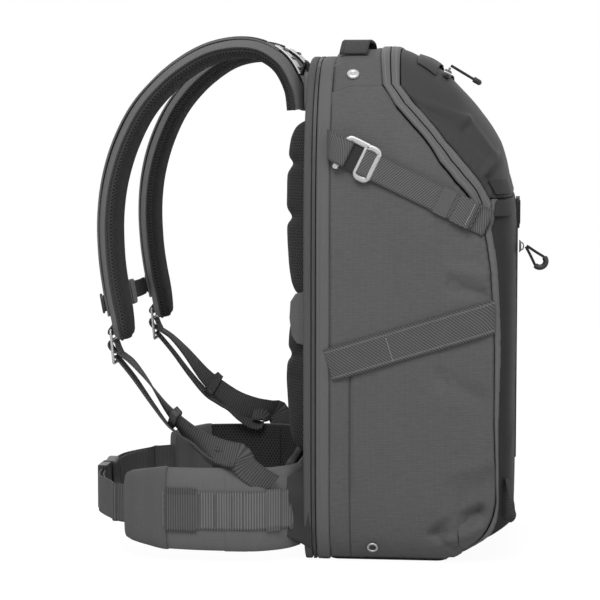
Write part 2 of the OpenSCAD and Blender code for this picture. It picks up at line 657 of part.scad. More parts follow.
module upper_back_pad() {
  color("#343434") crowned_pad(pad_half, lumbar_top + pad_gap, pad_top, pad_base, pad_t, [0.48, -0.1]);
}
belt_back = rim_y + seat;
belt_mid_y = belt_back + wing_t / 2;
belt_top = belt_z + wing_h / 2;
module lumbar_pad() {
  color("#343434") crowned_pad(pad_half, belt_top + pad_gap, lumbar_top, pad_base, pad_t, [0.3]);
}
belt_pad_in = 14;
belt_pad_t = 16;
module belt_pad() {
  color("#343434") crowned_pad(pad_half - belt_pad_in, belt_z - wing_h / 2 + 3, belt_top - 2,
                               belt_mid_y + wing_t / 2 + seat, belt_pad_t, [0], 14, 10);
}
yoke_low = pad_top + 7;
yoke_high = bag_h - 16;
yoke_t = 13;
module shoulder_yoke() {
  color("#343434") intersection() {
    translate([0, board_y + seat, (yoke_low + yoke_high) / 2]) rotate([-90, 0, 0])
      linear_extrude(yoke_t) rounded_rect([2 * root_x + strap_w - 4, yoke_high - yoke_low], 8);
    back_slab(rim_w + seat, board_y, rim_y + yoke_t);
  }
}
// Shoulder straps: the middle line of the left one, mirrored for the right.
strap_root_y = board_y + seat + yoke_t + seat + strap_t / 2;
strap_points = [
  [root_x, strap_root_y, 441], [root_x + 1, strap_root_y + 3, 462], [root_x + 4, 124, 484],
  [root_x + 8, 143, 497], [root_x + 13, 165, 500], [root_x + 19, 190, 495], [root_x + 26, 213, 483],
  [root_x + 33, 236, 464], [root_x + 40, 257, 438], [root_x + 45, 273, 405], [root_x + 49, 283, 370],
  [tip_x - 4, 287, 335], [tip_x - 2, 286, 300], [tip_x - 1, 282, 268], [tip_x, 277, 240], [tip_x, 274, 216]
];
// The points are for one back length; the shoulder moves with another, and the tip stays.
strap_back = 494;
strap_share = [[strap_points[15].z, 0], [strap_points[0].z, 1]];
strap_path = spline([for (p = strap_points) p + [0, 0, (bag_h - strap_back) * lookup(p.z, strap_share)]], 2);
strap_taper = [[0, 0.86], [0.15, 1], [0.7, 0.96], [0.9, 0.86], [0.96, 0.72], [1, 0.42]];
module shoulder_strap() {
  n = len(strap_path) - 1;
  ribbon(strap_path, [1, 0, 0], [for (i = [0:n]) strap_w * lookup(i / n, strap_taper)],
         [for (i = [0:n]) strap_t * (i == n ? 0.6 : 1)], 6);
}
module shoulder_strap_left() { color("#3f3f3f") mirror([1, 0, 0]) shoulder_strap(); }
module shoulder_strap_right() { color("#3f3f3f") shoulder_strap(); }
// The webbing that runs down the strap's outer face, lifted off it by a seat.
function outer_side(i, lift) =
  let (t = tangent(strap_path, i), n = unit(cross([1, 0, 0], t))) strap_path[i] + n * lift;
web_first = 6;
web_last = len(strap_path) - 3;
module strap_webbing() {
  lift = strap_t / 2 + web_t / 2 + 3 * seat;
  ribbon([for (i = [web_first:web_last]) outer_side(i, lift)], [1, 0, 0], web_w, web_t);
}
module strap_webbing_left() { color("#555555") mirror([1, 0, 0]) strap_webbing(); }
module strap_webbing_right() { color("#555555") strap_webbing(); }
// Load lifters: a plate on top of each strap root and the webbing that ties it to the door's rim.
lifter_x = root_x + 4;
plate_w = 30;
plate_points = [for (i = [5:-1:3]) outer_side(i, strap_t / 2 + plate_t / 2 + 3 * seat)];
module lifter_plates() {
  path = [for (p = plate_points) [lifter_x, p.y, p.z]];
  color("#c4c4c4") both_sides() ribbon(path, [1, 0, 0], plate_w, plate_t);
}
rim_top_z = let (rho = pow(1 - pow(lifter_x / half_w, 3.6), 1 / 3.6)) core.y + rho * (bag_h - core.y);
module load_lifters() {
  end = plate_points[2];
  flat_y = rim_y + seat + web_t / 2;
  path = [[lifter_x, end.y - 1.2, end.z - 1.6], [lifter_x, rim_y + 4, rim_top_z - 3],
          [lifter_x, flat_y, rim_top_z - 11], [lifter_x, flat_y, rim_top_z - 16]];
  color("#4a4a4a") both_sides() ribbon(path, [1, 0, 0], web_w - 2, web_t);
}
// Lower adjusters hang from the strap tips, and webbing runs from them to the belt.
adjuster_top = [tip_x, 286, 226];
adjuster_mid = [tip_x, 287, 208];
adjuster_low = [tip_x, 282.5, 190];
module strap_adjusters() {
  path = [adjuster_top, adjuster_mid, adjuster_low];
  color("#c4c4c4") both_sides() ribbon(path, [1, 0, 0], plate_w, plate_t);
}
lower_points = [[tip_x, 283.3, 204], [tip_x + 3, 268, 194], [tip_x + 7, 250, 174], [tip_x + 12, 232, 150],
                [tip_x + 18, 213, 131], [tip_x + 24, 196, 118], [tip_x + 33, 176, 110],
                [tip_x + 43, 155, 107]];
// The middle line of the right half of the belt's core, from the wing to the back.
core_half = [[wing_x, wing_y - run_gap, 0], [wing_x - 1, wing_y - 20, 0], [wing_x - 14, wing_y - 42, 0],
             [wing_x - 34, belt_mid_y + 2, 0], [wing_x - 60, belt_mid_y, 0]];
core_path = spline([for (p = core_half) p + [0, 0, belt_z]], 2);
// A point on the outer face of the belt's core, lifted by a seat.
function belt_out(i) = unit(cross([0, 0, 1], tangent(core_path, i)));
function belt_face(i, rise) = core_path[i] + belt_out(i) * (wing_t / 2 + seat + web_t / 2) + [0, 0, rise];
lower_free = spline(lower_points, 2);
lower_path = concat(lower_free, [belt_face(1, 44), belt_face(2, 33), belt_face(3, 24)]);
// It turns a quarter on the way, to lie flat on the belt.
lower_ends = [[1, 0, 0], [0, -0.73, 0.68]];
lower_sides = [for (i = [0:len(lower_path) - 1])
  let (s = min(max((i / len(lower_free) - 0.15) / 0.8, 0), 1), j = i - len(lower_free) + 1)
    j > 0 ? cross(tangent(lower_path, i), belt_out(j)) : lower_ends[0] * (1 - s) + lower_ends[1] * s];
module lower_webbing() { ribbon(lower_path, lower_sides, web_w, web_t); }
module lower_webbing_left() { color("#555555") mirror([1, 0, 0]) lower_webbing(); }
module lower_webbing_right() { color("#555555") lower_webbing(); }
keeper_i = 7;
module webbing_keepers() {
  along = tangent(lower_path, keeper_i);
  at = lower_path[keeper_i];
  side = lower_sides[keeper_i];
  n = unit(cross(along, side));
  color("#4a4a4a") both_sides() for (s = [-1, 1])
    let (c = at + n * s * (web_t + 2 * seat)) ribbon([c - along * 4, c + along * 4], side, web_w + 4, web_t);
}

// ---------------------------------------------------------------- sternum strap
sternum_i = 27;
sternum_gap = 0.5;
sternum_at = let (p = outer_side(sternum_i, strap_t / 2 + 3 * seat + web_t + sternum_gap)) [p.x, p.y, p.z];
sternum_dir = -tangent(strap_path, sternum_i);
sternum_web = 18;
// Children stand on the webbing: Z is away from the straps and Y up along them.
module on_sternum(x) {
  translate([x, sternum_at.y, sternum_at.z]) rotate([-atan2(sternum_dir.y, sternum_dir.z), 0, 0])
    rotate([-90, 0, 0]) children();
}
module sternum_sliders() {
  color("#262626") both_sides() on_sternum(sternum_at.x) linear_extrude(4) rounded_rect([web_w + 8, 16], 3);
}
module sternum_strap() {
  reach = sternum_at.x - web_w / 2 - 4 - seat;
  color("#3c3c3c") on_sternum(0) {
    translate([-reach, -sternum_web / 2, 1]) cube([2 * reach, sternum_web, web_t]);
    translate([0, 0, -3]) linear_extrude(10) rounded_rect([44, 26], 5);
  }
}

// ---------------------------------------------------------------- hip belt
// The core is fixed to the door; the wings start a running gap in front of it.
module belt_core() {
  path = concat(core_path, [for (i = [len(core_path) - 1:-1:0]) let (p = core_path[i]) [-p.x, p.y, p.z]]);
  color("#4e4e4e") ribbon(path, [0, 0, 1], wing_h, wing_t, 5);
}
wing_points = [[wing_x, wing_y, 0], [wing_x + 1, wing_y + 25, 0], [wing_x, wing_y + 50, 0],
               [wing_x - 5, wing_y + 78, 0], [wing_x - 15, wing_y + 103, 0], [wing_x - 28, wing_y + 123, 0]];
tip = wing_points[5];
wing_path = spline([for (p = wing_points) p + [0, 0, belt_z]], 2);
wing_taper = [[0, 1], [0.55, 0.98], [0.8, 0.84], [1, 0.56]];
module hip_wing() {
  n = len(wing_path) - 1;
  ribbon(wing_path, [0, 0, 1], [for (i = [0:n]) wing_h * lookup(i / n, wing_taper)],
         [for (i = [0:n]) i == n ? wing_t * 0.5 : wing_t], 5);
}
module hip_wing_left() { color("#4e4e4e") mirror([1, 0, 0]) hip_wing(); }
module hip_wing_right() { color("#4e4e4e") hip_wing(); }
// The belt webbing turns on a hem at the wing's tip, so the buckle keeps its direction.
hem_d = 3;
tip_dir = tangent(wing_path, len(wing_path) - 1);
hem = [tip.x, tip.y, belt_z] + tip_dir * (hem_d / 2 + 0.4);
buckle_y = hem.y + 30;
buckle_half = 34;
module belt_webbing() {
  translate([hem.x, hem.y, belt_z - belt_web_h / 2]) cylinder(d = hem_d, h = belt_web_h);
  path = [[hem.x - 0.6, hem.y + 0.3, belt_z], [hem.x - 30, hem.y + 17, belt_z],
          [buckle_half + 14, buckle_y - 1, belt_z], [buckle_half + seat, buckle_y, belt_z]];
  ribbon(path, [0, 0, 1], belt_web_h, web_t);
}
module belt_webbing_left() { color("#5d5d5d") mirror([1, 0, 0]) belt_webbing(); }
module belt_webbing_right() { color("#5d5d5d") belt_webbing(); }
// The male half's arms reach into the female half with room for the swing of the wing.
buckle_t = 14;
buckle_h = belt_web_h + 6;
arm_t = 3.2;
arm_h = 8;
shell_t = 1.8;
split_x = -6;
module hip_buckle_male() {
  color("#1f1f1f") {
    translate([-buckle_half, buckle_y - buckle_t / 2 + 2, belt_z - buckle_h / 2])
      cube([buckle_half + split_x - seat * 2, buckle_t - 4, buckle_h]);
    for (s = [-1, 1])
      translate([split_x - cut, buckle_y - arm_t / 2, belt_z + s * (buckle_h / 2 - 10) - arm_h / 2])
        cube([arm_reach + cut, arm_t, arm_h]);
  }
}
module hip_buckle_female() {
  color("#1f1f1f") difference() {
    translate([split_x + seat * 2, buckle_y - buckle_t / 2, belt_z - buckle_h / 2])
      cube([buckle_half - split_x - seat * 2, buckle_t, buckle_h]);
    translate([split_x, buckle_y - buckle_t / 2 + shell_t, belt_z - buckle_h / 2 + shell_t])
      cube([arm_reach + 4, buckle_t - 2 * shell_t, buckle_h - 2 * shell_t]);
  }
}

base_panel();
side_panel_left();
side_panel_right();
top_yoke();
rear_border();
front_panel();
lid_zip_band();
front_tab();
front_zip_track();
compartment_divider();
carry_handle();
yoke_rivets();
drain_eyelets();
side_loop_left();
side_loop_right();
strap_anchor_left();
strap_anchor_right();
ski_strap_left();
ski_strap_right();
axe_loop();
lid_shell();
goggle_flap();
goggle_zip_track();
goggle_slider();
goggle_puller();
front_slider();
front_puller();
lid_slider();
back_slider();
side_strap_left();
side_strap_right();
side_hook_left();
side_hook_right();
back_board();
door_rim();
frame_stays();
upper_back_pad();
lumbar_pad();
belt_pad();
shoulder_yoke();
shoulder_strap_left();
shoulder_strap_right();
strap_webbing_left();
strap_webbing_right();
load_lifters();
lifter_plates();
strap_adjusters();
lower_webbing_left();
lower_webbing_right();
webbing_keepers();
belt_core();
sternum_strap();
sternum_sliders();
hip_wing_left();
hip_wing_right();
belt_webbing_left();
belt_webbing_right();
hip_buckle_male();
hip_buckle_female();
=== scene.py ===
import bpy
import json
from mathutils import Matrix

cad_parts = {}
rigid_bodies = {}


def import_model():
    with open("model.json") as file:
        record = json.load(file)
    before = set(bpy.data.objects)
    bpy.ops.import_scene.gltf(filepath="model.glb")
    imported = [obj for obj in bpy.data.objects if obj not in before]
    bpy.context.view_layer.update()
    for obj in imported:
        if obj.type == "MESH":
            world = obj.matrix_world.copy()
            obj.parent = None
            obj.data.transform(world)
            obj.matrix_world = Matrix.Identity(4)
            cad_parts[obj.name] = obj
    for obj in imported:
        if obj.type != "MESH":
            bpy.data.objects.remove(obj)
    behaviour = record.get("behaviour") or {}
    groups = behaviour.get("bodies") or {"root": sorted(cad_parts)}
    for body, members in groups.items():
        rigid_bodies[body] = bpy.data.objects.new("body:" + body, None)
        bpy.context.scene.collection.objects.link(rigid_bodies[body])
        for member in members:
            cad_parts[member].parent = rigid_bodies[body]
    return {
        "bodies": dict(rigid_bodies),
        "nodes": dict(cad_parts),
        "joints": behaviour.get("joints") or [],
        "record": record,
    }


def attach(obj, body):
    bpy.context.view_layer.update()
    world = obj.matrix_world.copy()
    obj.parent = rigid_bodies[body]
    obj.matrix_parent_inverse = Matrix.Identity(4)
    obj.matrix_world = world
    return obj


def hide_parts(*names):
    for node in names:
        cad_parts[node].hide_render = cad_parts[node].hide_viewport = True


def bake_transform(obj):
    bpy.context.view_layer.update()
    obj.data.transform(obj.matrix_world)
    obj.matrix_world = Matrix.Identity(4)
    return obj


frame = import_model()

"""Looks of a ski backpack: a stiff-backed bag, its zips and fittings, a padded harness and a hip belt.

Lengths are in millimetres until a mesh is stored.  Z is up, the harness side is +Y, the wearer's
left is -X, and the origin is on the base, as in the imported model.
"""
import json
import logging
import math
from dataclasses import dataclass, field, replace
from enum import Enum
from typing import Callable, Optional, Sequence, Union

import bpy
import numpy as np

LOG = logging.getLogger("ski_backpack")
MM = 0.001
Array = np.ndarray
Grey = float
Number = Union[int, float]


class Layout(Enum):
    """Where a finish reads its place from."""

    OBJECT = "Object"
    STRIP = "UV"


# ------------------------------------------------------------------ shader maths
def arithmetic(operation: str) -> tuple[Callable, Callable]:
    """The plain and the reflected method of one arithmetic operation."""

    def plain(value: "Value", other: "Term") -> "Value":
        """One Math node on the value and the other."""
        return value.math(operation, value, other)

    def reflected(value: "Value", other: "Term") -> "Value":
        """One Math node on the other and the value."""
        return value.math(operation, other, value)

    return plain, reflected


class Value:
    """A shader output that adds Math nodes when it is used in arithmetic."""

    def __init__(self, graph: "Graph", link: bpy.types.NodeSocket) -> None:
        """Keep the graph and the output socket."""
        self.graph = graph
        self.link = link

    def math(self, operation: str, *values: "Term") -> "Value":
        """Add one Math node on the given values and return its result."""
        made = self.graph.add("ShaderNodeMath", {"operation": operation}, *values)
        return Value(self.graph, made.outputs[0])

    __add__, __radd__ = arithmetic("ADD")
    __sub__, __rsub__ = arithmetic("SUBTRACT")
    __mul__, __rmul__ = arithmetic("MULTIPLY")
    __truediv__ = arithmetic("DIVIDE")[0]
    __pow__ = arithmetic("POWER")[0]

    def wave(self, pitch: float) -> "Value":
        """A cosine wave from 0 to 1 with the given pitch."""
        return self.math("COSINE", self * (2 * math.pi / pitch)) * 0.5 + 0.5

    def saw(self, pitch: float) -> "Value":
        """A ramp from 0 to 1 that starts again at each pitch."""
        return self.math("FRACT", self / pitch)

    def size(self) -> "Value":
        """Absolute value."""
        return self.math("ABSOLUTE", self)

    def root(self) -> "Value":
        """Square root of what is above zero."""
        return self.math("SQRT", self.math("MAXIMUM", self, 0.0))

    def above(self, edge: "Term") -> "Value":
        """One where the value is above the edge, otherwise zero."""
        return self.math("GREATER_THAN", self, edge)

    def clamp(self) -> "Value":
        """The value kept between 0 and 1."""
        return self.math("MINIMUM", self.math("MAXIMUM", self, 0.0), 1.0)

    def ramp(self, low: float, high: float) -> "Value":
        """A straight rise from 0 at low to 1 at high, kept between them."""
        return ((self - low) * (1.0 / (high - low))).clamp()


Term = Union[Value, Number]


class Graph:
    """The node tree of one material."""

    def __init__(self, name: str) -> None:
        """Make an empty material with its output and Principled shader."""
        self.material = bpy.data.materials.new(name)
        self.material.use_nodes = True
        self.tree = self.material.node_tree
        self.tree.nodes.clear()
        self.shader = self.add("ShaderNodeBsdfPrincipled", {})
        self.output = self.add("ShaderNodeOutputMaterial", {}, Surface=self.shader.outputs[0])

    def add(self, kind: str, settings: dict, *values: object, **named: object) -> bpy.types.Node:
        """Add any node.

        Args:
            kind: The node's type.
            settings: Its properties, set before its sockets; "stops" fills a colour ramp.
            values: Values or links of its first sockets, in order.
            named: Values or links of sockets by name, with _ for a blank.

        Returns:
            The new node.
        """
        node = self.tree.nodes.new(kind)
        for key, setting in settings.items():
            if key == "stops":
                self._fill_ramp(node.color_ramp, setting)
            else:
                setattr(node, key, setting)
        for socket, value in zip(node.inputs, values):
            self.feed(socket, value)
        for key, value in named.items():
            self.feed(node.inputs[key.replace("_", " ")], value)
        return node

    @staticmethod
    def _fill_ramp(ramp: bpy.types.ColorRamp, stops: Sequence[tuple[float, Grey]]) -> None:
        """Give a colour ramp its stops, each a place and a grey."""
        while len(ramp.elements) < len(stops):
            ramp.elements.new(0.5)
        for element, (place, grey) in zip(ramp.elements, stops):
            element.position = place
            element.color = (grey, grey, grey, 1.0)

    def feed(self, socket: bpy.types.NodeSocket, value: object) -> None:
        """Link or set one socket."""
        link = value.link if isinstance(value, Value) else value
        if isinstance(link, bpy.types.NodeSocket):
            self.tree.links.new(link, socket)
        elif socket.type == "RGBA" and isinstance(link, (int, float)):
            socket.default_value = (link, link, link, 1.0)
        else:
            socket.default_value = link

    def place(self, layout: Layout) -> tuple[Value, Value, Value]:
        """The three parts of a point, in millimetres.

        Args:
            layout: Object coordinates, or the piece's own strip map (length, width, nothing).
        """
        source = self.add("ShaderNodeTexCoord", {}).outputs[layout.value]
        parts = self.add("ShaderNodeSeparateXYZ", {}, source)
        scale = 1000.0 if layout is Layout.OBJECT else 1.0
        return tuple(Value(self, out) * scale for out in parts.outputs)

    def noise(self, at: Sequence[Term], pitch: float, detail: float = 2.0) -> Value:
        """Cloudy noise from 0 to 1 with spots about one pitch across."""
        place = self.add("ShaderNodeCombineXYZ", {}, *at).outputs[0]
        made = self.add("ShaderNodeTexNoise", {}, Vector=place, Scale=1.0 / pitch, Detail=detail)
        return Value(self, made.outputs[0])

    def mix(self, share: Term, first: Grey, second: Grey) -> bpy.types.NodeSocket:
        """A colour between two greys."""
        made = self.add("ShaderNodeMix", {"data_type": "RGBA"}, share)
        made.inputs[6].default_value = (first, first, first, 1.0)
        made.inputs[7].default_value = (second, second, second, 1.0)
        return made.outputs[2]

    def dress(self, color: object, rough: object, height: Optional[Value], depth: float) -> None:
        """Feed the shader's colour, roughness and bump, with depth in millimetres."""
        self.feed(self.shader.inputs["Base Color"], color)
        self.feed(self.shader.inputs["Roughness"], rough)
        if height is not None:
            bump = self.add("ShaderNodeBump", {}, Strength=1.0, Distance=depth * MM, Height=height)
            self.feed(self.shader.inputs["Normal"], bump.outputs[0])


# ------------------------------------------------------------------ finishes
@dataclass(frozen=True)
class Finish:
    """A finish that is made into a material once."""

    name: str
    grey: Grey
    roughness: float = 0.75
    sheen: float = 0.02
    gloss: float = 0.14

    def material(self) -> bpy.types.Material:
        """The finish's material, made at the first call."""
        found = bpy.data.materials.get(self.name)
        if found is not None:
            return found
        graph = Graph(self.name)
        graph.shader.inputs["Sheen Weight"].default_value = self.sheen
        graph.shader.inputs["Sheen Roughness"].default_value = 0.4
        graph.shader.inputs["Specular IOR Level"].default_value = self.gloss
        self.paint(graph)
        return graph.material

    def paint(self, graph: Graph) -> None:
        """Plain colour with a fine grain."""
        x, y, z = graph.place(Layout.OBJECT)
        grain = graph.noise((x, y, z), 0.7)
        graph.dress(graph.mix(grain, self.grey * 0.9, self.grey * 1.1), self.roughness, grain, 0.05)

    def sewn(self, graph: Graph, tone: Value, height: Value) -> tuple[Value, Value]:
        """Tone and height as they are; a seamed cloth changes both near its seams."""
        return tone, height


@dataclass(frozen=True)
class RipCloth(Finish):
    """Face cloth with fine level ribs, flecks along them and a faint cross thread."""

    rib: float = 1.9
    cross: float = 5.5
    depth: float = 0.09
    fleck: float = 0.42

    def paint(self, graph: Graph) -> None:
        """Ribs follow Z; flecks are noise stretched along Y; cloudy wear varies both."""
        x, y, z = graph.place(Layout.OBJECT)
        long_fleck = graph.noise((x / 8.0, y / 8.0, z * 0.8), 1.0, 3.0)
        cloud = graph.noise((x, y, z), 55.0, 3.0)
        fuzz = graph.noise((x, y, z), 0.5, 1.0)
        ribs = z.wave(self.rib)
        threads = (y + x).wave(self.cross) ** 12.0
        tone = (long_fleck - 0.5) * self.fleck + (cloud - 0.5) * 0.16 + ribs * 0.1 + threads * 0.05 + 0.45
        height = ribs * 0.6 + threads * 0.25 + long_fleck * 0.7 + fuzz * 0.25
        tone, height = self.sewn(graph, tone, height)
        rough = cloud * 0.12 + (self.roughness - 0.06)
        graph.dress(graph.mix(tone.clamp(), self.grey * 0.55, self.grey * 1.45), rough, height, self.depth)


@dataclass(frozen=True)
class CoatedCloth(Finish):
    """Smooth coated cloth: a fine plain weave under a slightly shiny film."""

    weave: float = 0.8
    depth: float = 0.035

    def paint(self, graph: Graph) -> None:
        """A crossed pair of waves, with cloudy changes of shine."""
        x, y, z = graph.place(Layout.OBJECT)
        cloud = graph.noise((x, y, z), 38.0, 3.0)
        scuff = graph.noise((x, y / 3.0, z), 2.2, 3.0)
        grid = (x + y).wave(self.weave) * 0.5 + z.wave(self.weave) * 0.5
        tone = cloud * 0.3 + scuff * 0.16 + grid * 0.08 + 0.24
        tone, height = self.sewn(graph, tone, grid + scuff * 0.8)
        rough = cloud * 0.14 + scuff * 0.08 + (self.roughness - 0.11)
        graph.dress(graph.mix(tone.clamp(), self.grey * 0.72, self.grey * 1.28), rough, height, self.depth)


@dataclass(frozen=True)
class Webbing(Finish):
    """Woven tape on its own strip map: slanting ribs, a selvedge and a dotted edge."""

    width: float = 25.0
    rib: float = 2.4
    slant: float = 0.0
    depth: float = 0.22
    dots: bool = False

    def paint(self, graph: Graph) -> None:
        """Ribs run across the strip at a slant; yarns run along it."""
        along, across, _ = graph.place(Layout.STRIP)
        off = (across - self.width / 2).size()
        ribs = (along + across * self.slant).wave(self.rib)
        yarn = (across + ribs * 0.3).wave(1.15)
        edge = off.ramp(self.width / 2 - 2.2, self.width / 2 - 1.6)
        fuzz = graph.noise((along, across), 0.6, 2.0)
        cloud = graph.noise((along, across), 22.0, 2.0)
        tone = ribs * 0.46 + yarn * 0.12 + fuzz * 0.16 + cloud * 0.12 + 0.05 - edge * 0.12
        if self.dots:
            line = 1.0 - (off - (self.width / 2 - 3.4)).size().ramp(0.3, 0.8)
            tone = tone + line * along.wave(2.6) * 0.85
        height = ribs * (1.0 - edge * 0.6) + yarn * 0.35 + fuzz * 0.3
        graph.dress(graph.mix(tone.clamp(), self.grey * 0.22, self.grey * 1.8), self.roughness, height,
                    self.depth)


@dataclass(frozen=True)
class SpacerMesh(Finish):
    """Knitted mesh with staggered open cells."""

    cell: float = 3.4
    depth: float = 0.6
    layout: Layout = Layout.OBJECT

    def paint(self, graph: Graph) -> None:
        """A cell is a round dark spot; every second row is shifted by half a cell."""
        x, y, z = graph.place(self.layout)
        level, height = (x.size() - y, z) if self.layout is Layout.OBJECT else (x, y)
        row = (height / (self.cell * 1.7)).saw(1.0)

        def spot(shift: float) -> Value:
            """One of the two staggered sets of spots."""
            u = (level / self.cell + shift).saw(1.0) - 0.5
            v = (row + shift).saw(1.0) - 0.5
            return 1.0 - (u * u + v * v * 2.2).root().ramp(0.22, 0.4)

        holes = (spot(0.0) + spot(0.5)).clamp()
        fuzz = graph.noise((x, y, z), 0.8, 2.0)
        tone = (1.0 - holes) * 0.55 + fuzz * 0.35
        graph.dress(graph.mix(tone, self.grey * 0.25, self.grey * 1.5), self.roughness,
                    1.0 - holes + fuzz * 0.2, self.depth)


@dataclass(frozen=True)
class Moulded(Finish):
    """Moulded plastic or lacquered metal with a fine spark-eroded grain."""

    grain: float = 0.35
    metallic: float = 0.0

    def paint(self, graph: Graph) -> None:
        """Two sizes of noise for the grain, and a little rubbed shine."""
        x, y, z = graph.place(Layout.OBJECT)
        fine = graph.noise((x, y, z), self.grain, 2.0)
        worn = graph.noise((x, y, z), 9.0, 3.0)
        graph.shader.inputs["Metallic"].default_value = self.metallic
        graph.shader.inputs["Specular IOR Level"].default_value = 0.5
        graph.dress(graph.mix(worn, self.grey * 0.8, self.grey * 1.25), worn * 0.2 + (self.roughness - 0.1),
                    fine, 0.03)


@dataclass(frozen=True)
class SatinMetal(Finish):
    """Bead-blasted anodised aluminium."""

    def paint(self, graph: Graph) -> None:
        """Fine grain with faint handling marks."""
        x, y, z = graph.place(Layout.OBJECT)
        fine = graph.noise((x, y, z), 0.25, 2.0)
        marks = graph.noise((x, y / 6.0, z), 1.6, 4.0)
        graph.shader.inputs["Metallic"].default_value = 1.0
        graph.dress(graph.mix(marks, self.grey * 0.88, self.grey * 1.08),
                    marks * 0.16 + (self.roughness - 0.08), fine, 0.015)


@dataclass(frozen=True)
class Braid(Finish):
    """Braided cord on its own strip map."""

    pitch: float = 2.2

    def paint(self, graph: Graph) -> None:
        """Two sets of slanting strands cross over each other."""
        along, across, _ = graph.place(Layout.STRIP)
        one = (along + across).wave(self.pitch)
        two = (along - across).wave(self.pitch)
        strands = one * one * 0.5 + two * two * 0.5
        graph.dress(graph.mix(strands, self.grey * 0.6, self.grey * 1.6), self.roughness, strands, 0.15)


@dataclass(frozen=True)
class ZipTape(Finish):
    """Coated zip tape: two flat lips that meet over the coil, on the strip map."""

    width: float = 12.0
    lip: float = 0.5

    def paint(self, graph: Graph) -> None:
        """A dark slit along the middle and a stitched row on each side of it."""
        along, across, _ = graph.place(Layout.STRIP)
        off = (across - self.width / 2).size()
        slit = 1.0 - off.ramp(self.lip * 0.5, self.lip * 1.4)
        row = 1.0 - (off - self.width * 0.3).size().ramp(0.25, 0.6)
        thread = row * along.wave(2.4).above(0.35)
        fuzz = graph.noise((along, across), 0.9, 2.0)
        tone = (fuzz * 0.3 + 0.35 + thread * 0.35) * (1.0 - slit)
        graph.dress(graph.mix(tone.clamp(), self.grey * 0.15, self.grey * 1.7), self.roughness,
                    thread * 0.5 - slit * 2.0 + fuzz * 0.1, 0.3)


# ------------------------------------------------------------------ shapes as arrays
def blend_points(points: Sequence, steps: int) -> Array:
    """Smooth curve through points.

    Each span is the cubic 0.5(2b + (c-a)s + (2a-5b+4c-d)s^2 + (3b-a-3c+d)s^3) of its four
    neighbouring points a, b, c, d, the end points being repeated.

    Args:
        points: Rows of coordinates.
        steps: Samples in each span.

    Returns:
        The sampled rows, (spans * steps + 1) of them.
    """
    p = np.asarray(points, float)
    q = np.vstack([p[:1], p, p[-1:]])
    a, b, c, d = (q[i:i + len(p) - 1, None] for i in range(4))
    s = np.linspace(0, 1, steps, endpoint=False)[None, :, None]
    rows = 0.5 * (2 * b + (c - a) * s + (2 * a - 5 * b + 4 * c - d) * s**2 + (3 * b - a - 3 * c + d) * s**3)
    return np.vstack([rows.reshape(-1, p.shape[1]), p[-1:]])


def unit(v: Array) -> Array:
    """Rows divided by their lengths."""
    return v / np.maximum(np.linalg.norm(v, axis=-1, keepdims=True), 1e-9)


def lengths(path: Array) -> Array:
    """Distance along a path to each of its points."""
    return np.concatenate([[0.0], np.cumsum(np.linalg.norm(np.diff(path, axis=0), axis=1))])


def read_points(mesh: bpy.types.Mesh) -> Array:
    """A mesh's points, in metres."""
    flat = np.empty(len(mesh.vertices) * 3, np.float32)
    mesh.vertices.foreach_get("co", flat)
    return flat.reshape(-1, 3).astype(float)


def write_points(mesh: bpy.types.Mesh, points: Array) -> None:
    """Move a mesh's points to new places, in metres."""
    mesh.vertices.foreach_set("co", points.astype(np.float32).ravel())
    mesh.update()


def put(name: str, data: bpy.types.ID) -> bpy.types.Object:
    """A new object in the scene, of a mesh, a camera or a lamp."""
    made = bpy.data.objects.new(name, data)
    bpy.context.scene.collection.objects.link(made)
    return made


def modify(piece: bpy.types.Object, name: str, kind: str, **settings: object) -> bpy.types.Modifier:
    """Give an object a modifier with some settings."""
    made = piece.modifiers.new(name, kind)
    for key, value in settings.items():
        setattr(made, key, value)
    return made


def grid_normals(grid: Array, outside: Sequence[float]) -> Array:
    """Unit normals of a grid surface, all turned away from a point inside.

    The normal is the cross product of the two grid differences.
    """
    n = unit(np.cross(np.gradient(grid, axis=1), np.gradient(grid, axis=0)))
    middle = grid - np.asarray(outside, float)
    return n * np.where(np.sum(n * middle) < 0, -1.0, 1.0)


def grid_faces(rows: int, cols: int, ring: bool = False) -> Array:
    """Corner numbers of a grid's quads; a ring joins the last column to the first."""
    i = np.arange(rows - 1)[:, None] * cols
    j = np.arange(cols if ring else cols - 1)[None, :]
    k = (j + 1) % cols
    return np.stack([i + j, i + k, i + cols + k, i + cols + j], axis=-1).reshape(-1, 4)


def flipped(points: Array, faces: Array, inside: Optional[Sequence[float]]) -> bool:
    """Whether faces point inwards: by signed volume, or by the way they face from a point."""
    a, b, c = (points[faces[:, k]] for k in range(3))
    turn = np.cross(b - a, c - a)
    if inside is None:
        d = points[faces[:, 3]]
        centre = points.mean(axis=0)
        other = np.cross(c - a, d - a)
        return float(np.sum((a - centre) * (turn + other))) < 0
    return float(np.sum(turn * ((a + c) / 2 - np.asarray(inside, float)))) < 0


